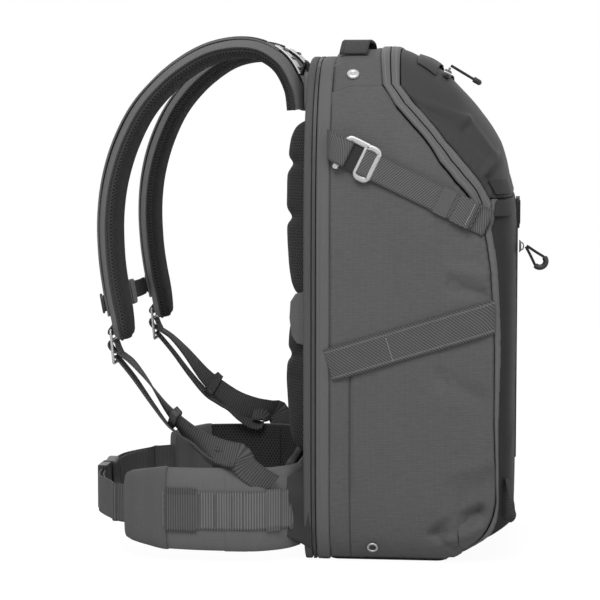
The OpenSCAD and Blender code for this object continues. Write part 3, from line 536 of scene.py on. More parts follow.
@dataclass
class Shape:
    """Points, faces and strip map of a mesh in the making."""

    points: Array
    quads: Array
    caps: list = field(default_factory=list)
    strip: Optional[Array] = None
    tints: Optional[Array] = None

    @classmethod
    def surface(cls, grid: Array, inside: Sequence[float],
                strip: Optional[tuple[Array, Array]] = None) -> "Shape":
        """An open surface from a grid of points.

        Args:
            grid: Points, rows by columns by 3.
            inside: A point that the surface faces away from.
            strip: The strip map's two numbers, each rows by columns.

        Returns:
            The shape with its faces outwards.
        """
        faces = grid_faces(*grid.shape[:2])
        points = grid.reshape(-1, 3)
        if flipped(points, faces, inside):
            faces = faces[:, ::-1]
        flat = None if strip is None else np.stack(strip, axis=-1).reshape(-1, 2)[faces]
        return cls(points, faces, [], flat)

    @classmethod
    def tube(cls, rings: Array, along: Optional[Array] = None, across: Optional[Array] = None,
             closed: bool = False) -> "Shape":
        """A closed tube through rings of points.

        Args:
            rings: Points, stations by ring by 3.
            along: Strip map's first number at each station.
            across: Its second number at each place of the ring, one more than the ring has.
            closed: Whether the last station joins the first.

        Returns:
            The shape, with flat ends where it isn't closed.
        """
        m, n = rings.shape[:2]
        if closed:
            rings = np.concatenate([rings, rings[:1]])
            m += 1
        points = rings.reshape(-1, 3)
        faces = grid_faces(m, n, ring=True)
        strip = None
        if along is not None:
            u = np.broadcast_to(np.append(along, along[-1] + 1.0)[:m, None], (m, n + 1))
            v = np.broadcast_to(across, (m, n + 1))
            flat = np.stack([u, v], axis=-1)
            i, j = np.meshgrid(np.arange(m - 1), np.arange(n), indexing="ij")
            corners = [flat[i, j], flat[i, j + 1], flat[i + 1, j + 1], flat[i + 1, j]]
            strip = np.stack(corners, axis=-2).reshape(-1, 4, 2)
        if closed:
            faces = np.where(faces >= (m - 1) * n, faces - (m - 1) * n, faces)
            points = points[:(m - 1) * n]
        caps = [] if closed else [np.arange(n)[::-1], (m - 1) * n + np.arange(n)]
        if flipped(points, faces, None):
            faces = faces[:, ::-1]
            strip = None if strip is None else strip[:, ::-1]
            caps = [cap[::-1] for cap in caps]
        return cls(points, faces, caps, strip)

    def mirrored(self) -> "Shape":
        """The same shape on the other side of the YZ plane."""
        return self.moved(np.diag([-1.0, 1.0, 1.0]), (0, 0, 0))

    def paired(self) -> "Shape":
        """This shape and its mirror image as one."""
        return self.joined(self.mirrored())

    def joined(self, *others: "Shape") -> "Shape":
        """This shape and others as one, each keeping its strip map."""
        every = (self,) + others
        starts = np.concatenate([[0], np.cumsum([len(s.points) for s in every])])
        quads = np.vstack([s.quads + k for s, k in zip(every, starts)])
        caps = [cap + k for s, k in zip(every, starts) for cap in s.caps]
        strips = [np.zeros((len(s.quads), 4, 2)) if s.strip is None else s.strip for s in every]
        tints = [np.zeros(len(s.quads), int) if s.tints is None else s.tints for s in every]
        return Shape(np.vstack([s.points for s in every]), quads, caps, np.vstack(strips),
                     np.concatenate(tints))

    def moved(self, matrix: Array, shift: Sequence[float]) -> "Shape":
        """The shape turned by a matrix and shifted; a matrix that mirrors keeps the faces outwards."""
        points = self.points @ np.asarray(matrix).T + np.asarray(shift)
        if np.linalg.det(matrix) > 0:
            return Shape(points, self.quads, self.caps, self.strip, self.tints)
        strip = None if self.strip is None else self.strip[:, ::-1]
        return Shape(points, self.quads[:, ::-1], [c[::-1] for c in self.caps], strip, self.tints)


@dataclass
class Piece:
    """One visible piece: its shape becomes a Blender object that rides on a body."""

    name: str
    shape: Shape
    finish: Union[Finish, Sequence[Finish]]
    body: str
    slot: str
    stands_for: tuple[str, ...] = ()
    wall: float = 0.0
    bevel: float = 0.0
    angle: float = 50.0
    fill: float = 0.0
    bend: tuple = ()

    def build(self) -> bpy.types.Object:
        """Make the object.

        Returns:
            The object, at the origin, with its finish, modifiers and body.
        """
        mesh = bpy.data.meshes.new(self.name)
        faces = self.shape.quads.tolist() + [cap.tolist() for cap in self.shape.caps]
        mesh.from_pydata(self.shape.points * MM, [], faces)
        if self.shape.strip is not None:
            layer = mesh.uv_layers.new(name="strip")
            loose = len(mesh.loops) - self.shape.strip.shape[0] * 4
            values = np.concatenate([self.shape.strip.reshape(-1), np.tile([0.0, 60.0], loose)])
            layer.data.foreach_set("uv", values.astype(np.float32))
        finishes = [self.finish] if isinstance(self.finish, Finish) else list(self.finish)
        for one in finishes:
            mesh.materials.append(one.material())
        if self.shape.tints is not None:
            tints = np.concatenate([self.shape.tints, np.zeros(len(self.shape.caps), int)])
            mesh.polygons.foreach_set("material_index", tints.astype(np.int32))
        mesh.polygons.foreach_set("use_smooth", np.ones(len(mesh.polygons), bool))
        mesh.validate()
        mesh.update()
        mesh.set_sharp_from_angle(angle=math.radians(self.angle))
        piece = put(self.name, mesh)
        self._finish_form(piece)
        return declare(piece, self.body, self.stands_for, self.bend)

    def _finish_form(self, piece: bpy.types.Object) -> None:
        """Give the piece its wall and round edges as modifiers."""
        if self.wall:
            modify(piece, "wall", "SOLIDIFY", thickness=self.wall * MM, offset=-1.0, use_even_offset=False)
        if self.bevel:
            modify(piece, "round edges", "BEVEL", width=self.bevel * MM, segments=3, limit_method="ANGLE",
                   angle_limit=math.radians(35), harden_normals=False)


def declare(piece: bpy.types.Object, body: str, nodes: Sequence[str],
            bend: tuple = ()) -> bpy.types.Object:
    """Tell the frame what a piece rides on and stands for; a piece with a bend is fixed in place instead."""
    if bend:
        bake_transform(piece)
    else:
        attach(piece, body)
    if nodes:
        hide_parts(*nodes)
    LOG.info("%s: %d faces on %s, for %s", piece.name, len(piece.data.polygons), body,
             ", ".join(nodes) or "itself")
    return piece


def both(piece: Piece, moving: str = "") -> None:
    """Build a right-hand piece and its mirror image; names, nodes and moving bodies end in the side."""
    for side, shape in (("right", piece.shape), ("left", piece.shape.mirrored())):
        nodes = tuple(f"{node}_{side}" for node in piece.stands_for)
        body = f"{moving}_{side}" if moving else piece.body
        replace(piece, name=f"{piece.name}_{side}", shape=shape, body=body, stands_for=nodes).build()


def tape_profile(width: float, thick: float, edge: float = 0.0, cells: int = 10) -> Array:
    """Cross-section of a tape, as across and out.

    Two level faces, each of some cells, joined by half rounds; with an edge above zero the
    two rims swell by that much.
    """
    x = np.linspace(-1, 1, cells + 1) * (width / 2 - thick / 2)
    swell = edge * np.exp(-((np.abs(x) - width / 2 + thick) / (thick * 0.7)) ** 2)
    t = np.radians([60, 30, 0, -30, -60])
    right = np.stack([width / 2 - thick / 2 + np.cos(t) * thick / 2, np.sin(t) * thick / 2], axis=1)
    top = np.stack([x, thick / 2 + swell], axis=1)
    low = np.stack([x[::-1], -thick / 2 - swell], axis=1)
    return np.vstack([top, right, low, right[::-1] * (-1, 1)])


def pad_profile(width: float, low: float, high: float, edge: float = 2.6, power: float = 3.2) -> Array:
    """Cross-section of a padded strap.

    Each face is its height times (1 - |u|^power)^0.55, over a rolled edge of the given half
    thickness.
    """
    u = np.sin(np.linspace(-1, 1, 19) * np.pi / 2)
    full = (1 - np.abs(u) ** power) ** 0.55
    top = np.stack([u * width / 2, edge + (high - edge) * full], axis=1)
    base = np.stack([u[::-1] * width / 2, -edge - (low - edge) * full], axis=1)
    t = np.radians([55, 20, -20, -55])
    roll = np.stack([width / 2 + np.cos(t) * edge * 0.9, np.sin(t) * edge], axis=1)
    return np.vstack([top, roll, base, roll[::-1] * (-1, 1)])


@dataclass
class Route:
    """A path with a side direction at each point, which a profile is carried along."""

    points: Sequence
    sides: Sequence
    steps: int = 8
    closed: bool = False

    def frame(self) -> tuple[Array, Array, Array, Array]:
        """Sampled points, directions along, to the side and outwards.

        Returns:
            at, along, side and out, where out is the cross product of along and side.
        """
        p = np.asarray(self.points, float)
        at = blend_points(np.vstack([p, p[:1]]), self.steps)[:-1] if self.closed else blend_points(p,
                                                                                                   self.steps)
        if self.closed:
            along = unit(np.roll(at, -1, axis=0) - np.roll(at, 1, axis=0))
        else:
            along = unit(np.gradient(at, axis=0))
        s = np.asarray(self.sides, float)
        if s.ndim == 1:
            side = np.broadcast_to(s, at.shape)
        else:
            side = blend_points(s, self.steps)
        side = unit(side - np.sum(side * along, axis=1, keepdims=True) * along)
        return at, along, side, np.cross(along, side)

    def carry(self, profile: Array, wide: object = 1.0, thick: object = 1.0, lift: object = 0.0,
              shift: object = 0.0) -> Shape:
        """Carry a profile along the route: point = at + side * (x * wide + shift) + out * (y * thick + lift).

        Args:
            profile: Rows of across and out, going once round.
            wide: Scale across, one number or one at each station.
            thick: Scale outwards.
            lift: Offset outwards.
            shift: Offset to the side.

        Returns:
            The closed tube with a strip map of length along and distance across.
        """
        at, _, side, out = self.frame()
        w, t, up, off = (np.broadcast_to(np.asarray(v, float).reshape(-1, 1), (len(at), 1))
                         for v in (wide, thick, lift, shift))
        x = profile[None, :, 0] * w + off
        y = profile[None, :, 1] * t + up
        rings = at[:, None] + side[:, None] * x[..., None] + out[:, None] * y[..., None]
        across = profile[:, 0] + (profile[:, 0].max() - profile[:, 0].min()) / 2
        return Shape.tube(rings, lengths(at), np.append(across, across[0]), self.closed)

    def cord(self, thick: float, round_steps: int = 12) -> Shape:
        """A round cord: a circle of the given diameter carried along the route."""
        t = np.linspace(0, 2 * np.pi, round_steps, endpoint=False)
        at, _, side, out = self.frame()
        ring = side[:, None] * np.cos(t)[None, :, None] + out[:, None] * np.sin(t)[None, :, None]
        around = np.append(t, 2 * np.pi) * thick / 2
        return Shape.tube(at[:, None] + ring * thick / 2, lengths(at), around, self.closed)


def tape_along(points: Sequence, side: Sequence, steps: int, *form: float) -> Shape:
    """A tape along a route; the form is its profile's width, thickness, swollen edge and cells."""
    return Route(points, side, steps).carry(tape_profile(*form))


def turned(profile: Sequence, round_steps: int = 40) -> Shape:
    """A turned part about Z: each profile point (r, z) goes once round; a closed profile."""
    p = np.asarray(profile, float)
    t = np.linspace(0, 2 * np.pi, round_steps, endpoint=False)
    rings = np.stack([np.cos(t)[:, None] * p[:, 0], np.sin(t)[:, None] * p[:, 0],
                      np.broadcast_to(p[:, 1], (round_steps, len(p)))], axis=-1)
    return Shape.tube(rings, closed=True)


def slab(outline: Sequence, low: float, high: float) -> Shape:
    """A plate: an outline in X and Y between two heights."""
    p = np.asarray(outline, float)
    rings = np.stack([np.column_stack([p, np.full(len(p), z)]) for z in (low, high)])
    return Shape.tube(rings)


def round_outline(width: float, height: float, r: float, centre: Sequence[float] = (0, 0),
                  steps: int = 7) -> Array:
    """Outline of a rectangle with four round corners of some points each, anticlockwise."""
    t = np.radians(np.linspace(0, 90, steps))
    arc = np.stack([np.cos(t), np.sin(t)], axis=1) * r
    turn = [np.array([[c, -s], [s, c]]) for c, s in ((1, 0), (0, 1), (-1, 0), (0, -1))]
    corner = [(1, 1), (-1, 1), (-1, -1), (1, -1)]
    parts = [arc @ m.T + (np.array([width / 2 - r, height / 2 - r]) * c) for m, c in zip(turn, corner)]
    return np.vstack(parts) + np.asarray(centre)


def ripple(x: Array, y: Array, seed: int, pitch: float, waves: int = 7) -> Array:
    """Soft unevenness from -1 to 1: a sum of sines with seeded directions and lengths near a pitch."""
    rng = np.random.default_rng(seed)
    turn = rng.uniform(0, np.pi, waves)
    size = pitch * rng.uniform(0.7, 1.6, waves)
    start = rng.uniform(0, 2 * np.pi, waves)
    total = sum(np.sin((x * np.cos(a) + y * np.sin(a)) * 2 * np.pi / p + s) for a, p,
                s in zip(turn, size, start))
    return total / waves


def crease(x: Array, y: Array, start: Sequence[float], end: Sequence[float], width: float) -> Array:
    """A fold along a segment: exp(-(distance / width)^2)."""
    a, b = np.asarray(start, float), np.asarray(end, float)
    d = b - a
    s = np.clip(((x - a[0]) * d[0] + (y - a[1]) * d[1]) / (d @ d), 0, 1)
    return np.exp(-((x - a[0] - s * d[0]) ** 2 + (y - a[1] - s * d[1]) ** 2) / width**2)


def folds(x: Array, y: Array, table: Sequence) -> Array:
    """The sum of a table of folds, each a height, a start, an end and a width."""
    return sum(height * crease(x, y, start, end, width) for height, start, end, width in table)


def squared(wave: Array, power: float) -> Array:
    """A sine or cosine drawn towards a square wave: sign(w) * |w|^power."""
    return np.sign(wave) * np.abs(wave) ** power


def spread(count: int) -> Array:
    """Places from -1 to 1 across a panel, closer together towards its sides."""
    turn = 0.86 * np.pi / 2
    return np.sin(np.linspace(-1, 1, count) * turn) / math.sin(turn)


def panel_runs(grid: Array) -> tuple[Array, Array]:
    """Distance to the nearer side edge, and distance down from the first row, at each point."""
    across = np.cumsum(np.linalg.norm(np.diff(grid, axis=1), axis=2), axis=1)
    run = np.concatenate([np.zeros((len(grid), 1)), across], axis=1)
    down = np.cumsum(np.linalg.norm(np.diff(grid, axis=0), axis=2), axis=0)
    return np.minimum(run, run[:, -1:] - run), np.concatenate([np.zeros((1, grid.shape[1])), down])


# ------------------------------------------------------------------ the bag's skin
@dataclass
class BagSkin:
    """The bag's outer surface, which every panel and fitting lies on.

    A point has an angle about a core line along X, from +Y towards +Z, and a share rho of the side
    outline's radius.  Its half width is half_w * (1 - rho^n)^(1/n), where n changes with the angle.
    """

    half_w: float = 143.0
    core_y: float = -10.0
    core_z: float = 247.0
    base_sag: float = 7.0
    back_y: float = 83.0
    front_y: float = 109.0
    bag_h: float = 494.0
    crown_z: float = 507.0
    yoke_z: float = 501.0
    border_y: float = 70.0
    face_h: float = 330.0
    chin_r: float = 46.0
    yoke_rho: float = 0.85
    chin_start: float = -46.0
    chin_rise: float = 0.66
    lid_bends: tuple = ((0.06, 0.26), (0.13, 0.44), (0.29, 0.608), (0.453, 0.739), (0.6, 0.84), (0.72, 0.9),
                        (0.906, 0.966))
    band_rear: tuple = ((82, 0.85), (84.8, 0.765), (90, 0.72), (95, 0.69), (100, 0.66), (108, 0.655),
                        (116, 0.67), (125, 0.685), (132.7, 0.7))
    band_front: tuple = ((86.3, 0.85), (90, 0.805), (95, 0.775), (100.6, 0.755), (108, 0.755), (113, 0.762),
                         (117, 0.772), (122, 0.795), (125.5, 0.82))
    front_seam: tuple = ((117, 0.777), (122, 0.8), (125.5, 0.825), (132.7, 0.705), (151.6, 0.755),
                         (171.9, 0.775), (203.7, 0.8), (225, 0.8), (233.9, 0.8), (244, 0.82), (258, 0.93))

    def __post_init__(self) -> None:
        """Work out the side outline in angle and radius."""
        bends = np.array(self.lid_bends)[::-1]
        lid = np.column_stack([-self.front_y + bends[:, 0] * (self.front_y + 14),
                               self.face_h + bends[:, 1] * (self.crown_z - self.face_h)])
        drop = np.linspace(0, 1, 21)
        face = np.column_stack([np.full(21, -self.front_y),
                                self.face_h + drop * (self.chin_r - self.base_sag - self.face_h)])
        t = np.radians(np.arange(75, -1, -15))
        chin = np.column_stack([-self.front_y + self.chin_r * (1 - np.sin(t)), self.chin_r * (1 - np.cos(t))
                                - self.base_sag])
        top = np.array([(83, self.bag_h), (60, self.yoke_z), (34, self.yoke_z), (14, self.crown_z)])
        side = np.vstack([top, lid, face, chin])
        self.turns = self.angle_of(side[:, 0], side[:, 1])
        self.reach = np.hypot(side[:, 0] - self.core_y, side[:, 1] - self.core_z)

    def angle_of(self, y: Array, z: Array) -> Array:
        """Angle of a side-view point, in degrees."""
        return np.degrees(np.arctan2(z - self.core_z, y - self.core_y)) % 360

    def swell(self, a: Array) -> Array:
        """Exponent of the superellipse at an angle."""
        return np.interp(a, [0, 120, 165, 200, 360], [3.6, 3.6, 7, 8, 8])

    def radius(self, a: Array) -> Array:
        """Radius of the side outline: flat top behind, table over the lid and front, flat base."""
        sin = np.sin(np.radians(a))
        rear = (self.bag_h - self.core_z) / np.maximum(sin, 1e-4)
        base = (self.core_z + self.base_sag) / np.maximum(-sin, 1e-4)
        table = np.interp(a, self.turns, self.reach)
        return np.where(a < self.turns[0], rear, np.where(a <= self.turns[-1], table, base))

    def half(self, a: Array, rho: Array, depth: float = 0.0) -> Array:
        """Half width at an angle and a share of the radius."""
        n = self.swell(a)
        return (self.half_w - depth) * np.maximum(0, 1 - np.minimum(rho, 1) ** n) ** (1 / n)

    def point(self, a: Array, rho: Array, depth: float = 0.0) -> Array:
        """Points on the right half, at a depth below the surface; the chin is pulled up to a slope."""
        r = rho * (self.radius(a) - depth)
        y = self.core_y + r * np.cos(np.radians(a))
        z = np.maximum(self.core_z + r * np.sin(np.radians(a)), depth)
        slope = self.chin_rise * (self.chin_start - y) * np.clip((self.chin_start - y) / 12, 0, 1)
        z = z + 3.0 * np.logaddexp(0, (slope - z) / 3.0) * (y < self.chin_start)
        return np.stack([self.half(a, rho, depth), y, z], axis=-1)

    def side_x(self, y: Array, z: Array) -> Array:
        """Half width of the skin over a point of the side view."""
        a = self.angle_of(np.asarray(y, float), np.asarray(z, float))
        return self.half(a, np.hypot(np.asarray(y) - self.core_y, np.asarray(z) - self.core_z)
                         / self.radius(a))

    def edge(self, a: Array) -> Array:
        """Share of the radius at which the side panel ends: border, yoke, zip band, front or base."""
        rear_seam = np.interp(a, *np.transpose(self.band_rear)) - 0.009
        front = np.interp(a, *np.transpose(self.front_seam))
        seam = np.where(a < 82, 0.85, np.where(a > 258, 1.05, np.where(a < 132.7, rear_seam, front)))
        cos, sin = np.cos(np.radians(a)), np.sin(np.radians(a))
        rear = (self.border_y - self.core_y) / np.maximum(cos, 1e-4) / self.radius(a)
        base = self.core_z / np.maximum(-sin, 1e-4) / self.radius(a)
        return np.minimum(seam, np.minimum(rear, base))

    @staticmethod
    def beside(seam: Sequence, gap: float) -> list:
        """A seam table moved out by a share of the radius."""
        return [(a, share + gap) for a, share in seam]

    def wrap(self, a: Array, q: Array, seam: Sequence, depth: float = 0.0) -> Array:
        """Points of a panel from the left seam (q = -1) to the right one (q = 1).

        The share of the radius is 1 - (1 - seam share) * |q|^n.
        """
        q = np.broadcast_to(q, a.shape)
        share = np.interp(a, *np.transpose(seam))
        rho = 1 - (1 - share) * np.abs(q) ** self.swell(a)
        return self.point(a, rho, depth) * np.stack([np.sign(q), np.ones_like(q), np.ones_like(q)], axis=-1)

    def cross(self, level: float, q: Array, seam: Sequence, column: int = 2, low: float = 100,
              high: float = 170) -> Array:
        """Angle at which each line of constant q falls to a level, by halving.

        Args:
            level: The level in Y or Z.
            q: Places across the panel.
            seam: The panel's seam table.
            column: 1 for Y, 2 for Z.
            low: First angle.
            high: Last angle.

        Returns:
            One angle for each q.
        """
        low, high = np.full(q.shape, float(low)), np.full(q.shape, float(high))
        for _ in range(22):
            mid = (low + high) / 2
            beyond = self.wrap(mid, q, seam)[..., column] > level
            low, high = np.where(beyond, mid, low), np.where(beyond, high, mid)
        return (low + high) / 2

    def back_outline(self, depth: float, count: int = 60) -> Array:
        """Outline of the back opening as X and Z: from the base up, over the top and down."""
        t = np.linspace(0, 1, count)
        z = depth + (self.bag_h - 2 * depth) * np.sin(np.radians(t * 90)) ** 1.3
        away = np.where(z > self.core_z, self.bag_h - self.core_z, self.core_z + self.base_sag)
        x = self.half(self.angle_of(np.full(count, self.back_y), z), np.abs(z - self.core_z) / away) - depth
        right = np.column_stack([np.maximum(x, 0), z])
        return np.vstack([right, (right[:-1] * (-1, 1))[::-1]])


SKIN = BagSkin()
INSIDE = (0.0, SKIN.core_y, SKIN.core_z)
SEAM_GAP = 0.009
LID_GAP = 0.8 / 150
CLOTH_WALL = 1.6
FACE_BACK = np.array([[1.0, 0, 0], [0, 0, 1], [0, -1, 0]])
FACE_FRONT = FACE_BACK.T
FRONT_TOP = 355.2
LID_FOOT = 356.0
ROLL = 1.5
ROLL_WIDTH = 2.6
PUCKER = 0.3
PUCKER_PITCH = 9.3


def rolled(grid: Array, away: Array, along: Array, relief: Union[Array, float] = 0.0) -> Array:
    """Turn a panel's edge in to its seam and pucker it.

    The shift along the normal is relief - roll * exp(-(away / width)^2)
    + pucker * (cos(2 pi along / pitch) - 1) * exp(-away / 6).

    Args:
        grid: The panel's points.
        away: Distance of each from the seam.
        along: Distance along the seam.
        relief: The panel's own folds.

    Returns:
        The shifted points.
    """
    shift = -ROLL * np.exp(-(away / ROLL_WIDTH) ** 2)
    shift = shift + PUCKER * (np.cos(along * 2 * np.pi / PUCKER_PITCH) - 1) * np.exp(-away / 6)
    return grid + grid_normals(grid, INSIDE) * (shift + relief)[..., None]


# ------------------------------------------------------------------ this bag's finishes
@dataclass(frozen=True)
class SeamedRipCloth(RipCloth):
    """Ribbed cloth whose strip map holds the length along its seam and the distance from it."""

    shaded_groove_y: float = 0.0
    shaded_groove_top: float = 0.0

    def sewn(self, graph: Graph, tone: Value, height: Value) -> tuple[Value, Value]:
        """Add a dark line of painted shade and a stitched row at the seam, painted shade down one groove up
        to a height, and a dark foot.
        """
        _, y, z = graph.place(Layout.OBJECT)
        along, away, _ = graph.place(Layout.STRIP)
        # painted shade: the cloth darkens along its sunk seam
        seam = 1.0 - away.ramp(0.4, 1.9)
        row = (1.0 - (away - 3.4).size().ramp(0.2, 0.5)) * along.wave(3.1).above(0.3)
        # painted shade down the vertical groove, which the height also sinks
        shaded_groove = (1.0 - (y - self.shaded_groove_y).size().ramp(0.35, 1.1)) * (1.0 - z.above(self.shaded_groove_top))
        foot = z.ramp(3.2, 4.4) * 0.75 + 0.25
        tone = (tone + row * 0.06) * (1.0 - seam * 0.75) * (1.0 - shaded_groove * 0.75) * foot
        return tone, height - shaded_groove * 5.0 - seam * 3.0


@dataclass(frozen=True)
class SeamedCoatedCloth(CoatedCloth):
    """Coated cloth with a dark line of painted shade at its seams and a stitched row beside them."""

    row: float = 3.6

    def sewn(self, graph: Graph, tone: Value, height: Value) -> tuple[Value, Value]:
        """Darken the seam as painted shade and sink it; the strip map gives the length along and the distance
        from it.
        """
        along, away, _ = graph.place(Layout.STRIP)
        # painted shade along the sunk seam
        seam = 1.0 - away.ramp(0.3, 1.7)
        stitch = (1.0 - (away - self.row).size().ramp(0.2, 0.5)) * along.wave(3.0).above(0.3)
        return (tone + stitch * 0.12) * (1.0 - seam * 0.75), height - seam * 4.0 - stitch * 2.0


# the side cloth paints shade down a vertical groove at y 50 up to z 191
SIDE_CLOTH = SeamedRipCloth("ribbed side cloth", 0.105, shaded_groove_y=50.0, shaded_groove_top=191.0)
BORDER_CLOTH = RipCloth("rear band cloth", 0.125, rib=1.2, fleck=0.1)
RIM_CLOTH = RipCloth("door rim cloth", 0.088, rib=1.2, fleck=0.1)
LID_CLOTH = SeamedCoatedCloth("coated lid cloth", 0.050, 0.62)
FRONT_CLOTH = SeamedCoatedCloth("coated front cloth", 0.027, 0.62)
# a lighter copy of the front cloth: painted light on the rounded front corner
CORNER_LIGHT_CLOTH = SeamedCoatedCloth("coated front cloth with painted corner light", 0.130, 0.66)
BASE_CLOTH = CoatedCloth("coated base cloth", 0.030, 0.7)
FLAP_CLOTH = CoatedCloth("coated flap cloth", 0.06, 0.6)
ZIP_BAND = ZipTape("zip band", 0.140, 0.6, width=16.0)
DARK_ZIP = ZipTape("dark zip", 0.030, 0.5, width=8.0)
PATCH_CLOTH = CoatedCloth("hinge patch cloth", 0.032, 0.55)
SKI_WEB = Webbing("ski strap webbing", 0.100, 0.8, width=32.0, rib=3.0, slant=0.8, dots=True)
SIDE_WEB = Webbing("side strap webbing", 0.112, 0.8, width=26.0, rib=2.3, slant=0.45)
DARK_WEB = Webbing("dark webbing", 0.050, 0.8, width=25.0, rib=2.2)
HARNESS_WEB = Webbing("harness webbing", 0.085, 0.75, width=25.0, rib=2.6)
THREAD = Braid("bright thread", 0.42, 0.6, pitch=1.2)
THREAD_DARK = Braid("dark thread", 0.16, 0.6, pitch=1.2)
SATIN = SatinMetal("satin aluminium", 0.5, 0.46)
STEEL = SatinMetal("dark lacquered steel", 0.16, 0.4)
BLACK_PLASTIC = Moulded("black moulded plastic", 0.022, 0.5)
CORD_BLACK = Braid("black cord", 0.026, 0.5)
BOARD_PLASTIC = Moulded("board plastic", 0.045, 0.6)
LINING = CoatedCloth("smooth lining", 0.16, 0.7)
PAD_MESH = SpacerMesh("spacer mesh", 0.050, 0.85)
HARNESS_MESH = SpacerMesh("harness mesh", 0.045, 0.85, layout=Layout.STRIP)
STRAP_CLOTH = RipCloth("harness cloth", 0.145, rib=1.4, fleck=0.16)
STRAP_EDGE = CoatedCloth("strap edge cloth", 0.045, 0.6)
WING_CLOTH = RipCloth("belt wing cloth", 0.135, rib=1.4, fleck=0.16)
SLEEVE_CLOTH = RipCloth("belt sleeve cloth", 0.108, rib=1.2, fleck=0.1)
BELT_WEB = Webbing("belt webbing", 0.10, 0.75, width=38.0, rib=2.4)
MOLLE_WEB = Webbing("belt ladder webbing", 0.145, 0.8, width=38.0, rib=2.6)


# ------------------------------------------------------------------ studio
@dataclass
class Studio:
    """Camera, pale floor and soft light."""

    azimuth: float = -84.0
    elevation: float = 5.0
    distance: float = 2200.0
    target: tuple = (0.0, 113.0, 245.0)
    lens: float = 128.04
    world: float = 0.36
    lamps: tuple = (((-1500, 200, 1900), 1.1, 28.0), ((-1500, -1600, 900), 1.4, 7.0),
                    ((1500, 900, 1500), 1.2, 10.0))

    def build(self) -> None:
        """Set up the camera, the floor, the lamps and the world."""
        bpy.context.scene.view_settings.view_transform = "Standard"
        self._camera()
        self._floor()
        for place, size, power in self.lamps:
            self._lamp(place, size, power)
        self._world()
        LOG.info("studio: camera at %.0f degrees round and %.0f up", self.azimuth, self.elevation)

    def _back(self) -> Array:
        """Direction from the target to the camera."""
        a, e = math.radians(self.azimuth), math.radians(self.elevation)
        return np.array([math.sin(a) * math.cos(e), -math.cos(a) * math.cos(e), math.sin(e)])

    @staticmethod
    def _aim(thing: bpy.types.Object, back: Array, place: Array) -> None:
        """Put a camera or lamp at a place, its own Z along back and its Y upwards."""
        back = back / np.linalg.norm(back)
        right = np.cross((0, 0, 1), back)
        right /= np.linalg.norm(right)
        matrix = np.eye(4)
        matrix[:3, 0], matrix[:3, 1], matrix[:3, 2] = right, np.cross(back, right), back
        matrix[:3, 3] = place * MM
        thing.matrix_world = [tuple(row) for row in matrix.T.tolist()]

    def _camera(self) -> None:
        """The photograph's view."""
        data = bpy.data.cameras.new("photo view")
        data.lens = self.lens
        data.sensor_width = 36.0
        data.clip_end = 20.0
        camera = put("photo view", data)
        self._aim(camera, self._back(), np.array(self.target) + self.distance * self._back())
        bpy.context.scene.camera = camera

    def _lamp(self, place: Sequence[float], size: float, power: float) -> None:
        """A square soft lamp that faces the bag."""
        data = bpy.data.lights.new("soft box", "AREA")
        data.shape = "SQUARE"
        data.size = size
        data.energy = power
        lamp = put("soft box", data)
        back = np.array(place, float) - np.array(self.target)
        self._aim(lamp, back, np.array(place, float))

    def _floor(self) -> None:
        """A pale floor that shows white to the camera and keeps a faint shadow."""
        graph = Graph("pale floor")
        graph.dress(0.8, 0.9, None, 0.0)
        path = graph.add("ShaderNodeLightPath", {})
        glow = graph.add("ShaderNodeEmission", {}, 1.0, 1.1)
        seen = Value(graph, path.outputs["Is Camera Ray"]) * 0.86
        two_looks = graph.add("ShaderNodeMixShader", {}, seen, graph.shader.outputs[0], glow.outputs[0])
        graph.feed(graph.output.inputs["Surface"], two_looks.outputs[0])
        mesh = bpy.data.meshes.new("floor")
        mesh.from_pydata([(-4, -4, -0.0005), (4, -4, -0.0005), (4, 4, -0.0005), (-4, 4, -0.0005)], [],
                         [(0, 1, 2, 3)])
        mesh.materials.append(graph.material)
        put("floor", mesh)

    def _world(self) -> None:
        """Even soft light; white to the camera and in reflections."""
        world = bpy.data.worlds.new("soft world")
        world.use_nodes = True
        bpy.context.scene.world = world
        tree = world.node_tree
        tree.nodes.clear()
        path = tree.nodes.new("ShaderNodeLightPath").outputs
        clear = self._math(tree, "MAXIMUM", path["Is Camera Ray"], path["Is Transmission Ray"])
        white = self._math(tree, "MAXIMUM", path["Is Glossy Ray"], clear)
        level = self._math(tree, "MULTIPLY_ADD", white, 1.0 - self.world, self.world)
        light = tree.nodes.new("ShaderNodeBackground")
        light.inputs["Color"].default_value = (1.0, 1.0, 1.0, 1.0)
        tree.links.new(level, light.inputs["Strength"])
        out = tree.nodes.new("ShaderNodeOutputWorld")
        tree.links.new(light.outputs[0], out.inputs["Surface"])

    @staticmethod
    def _math(tree: bpy.types.NodeTree, operation: str, *values: object) -> bpy.types.NodeSocket:
        """One Math node of the world's tree on links or numbers."""
        node = tree.nodes.new("ShaderNodeMath")
        node.operation = operation
        for socket, value in zip(node.inputs, values):
            if isinstance(value, float):
                socket.default_value = value
            else:
                tree.links.new(value, socket)
        return node.outputs[0]


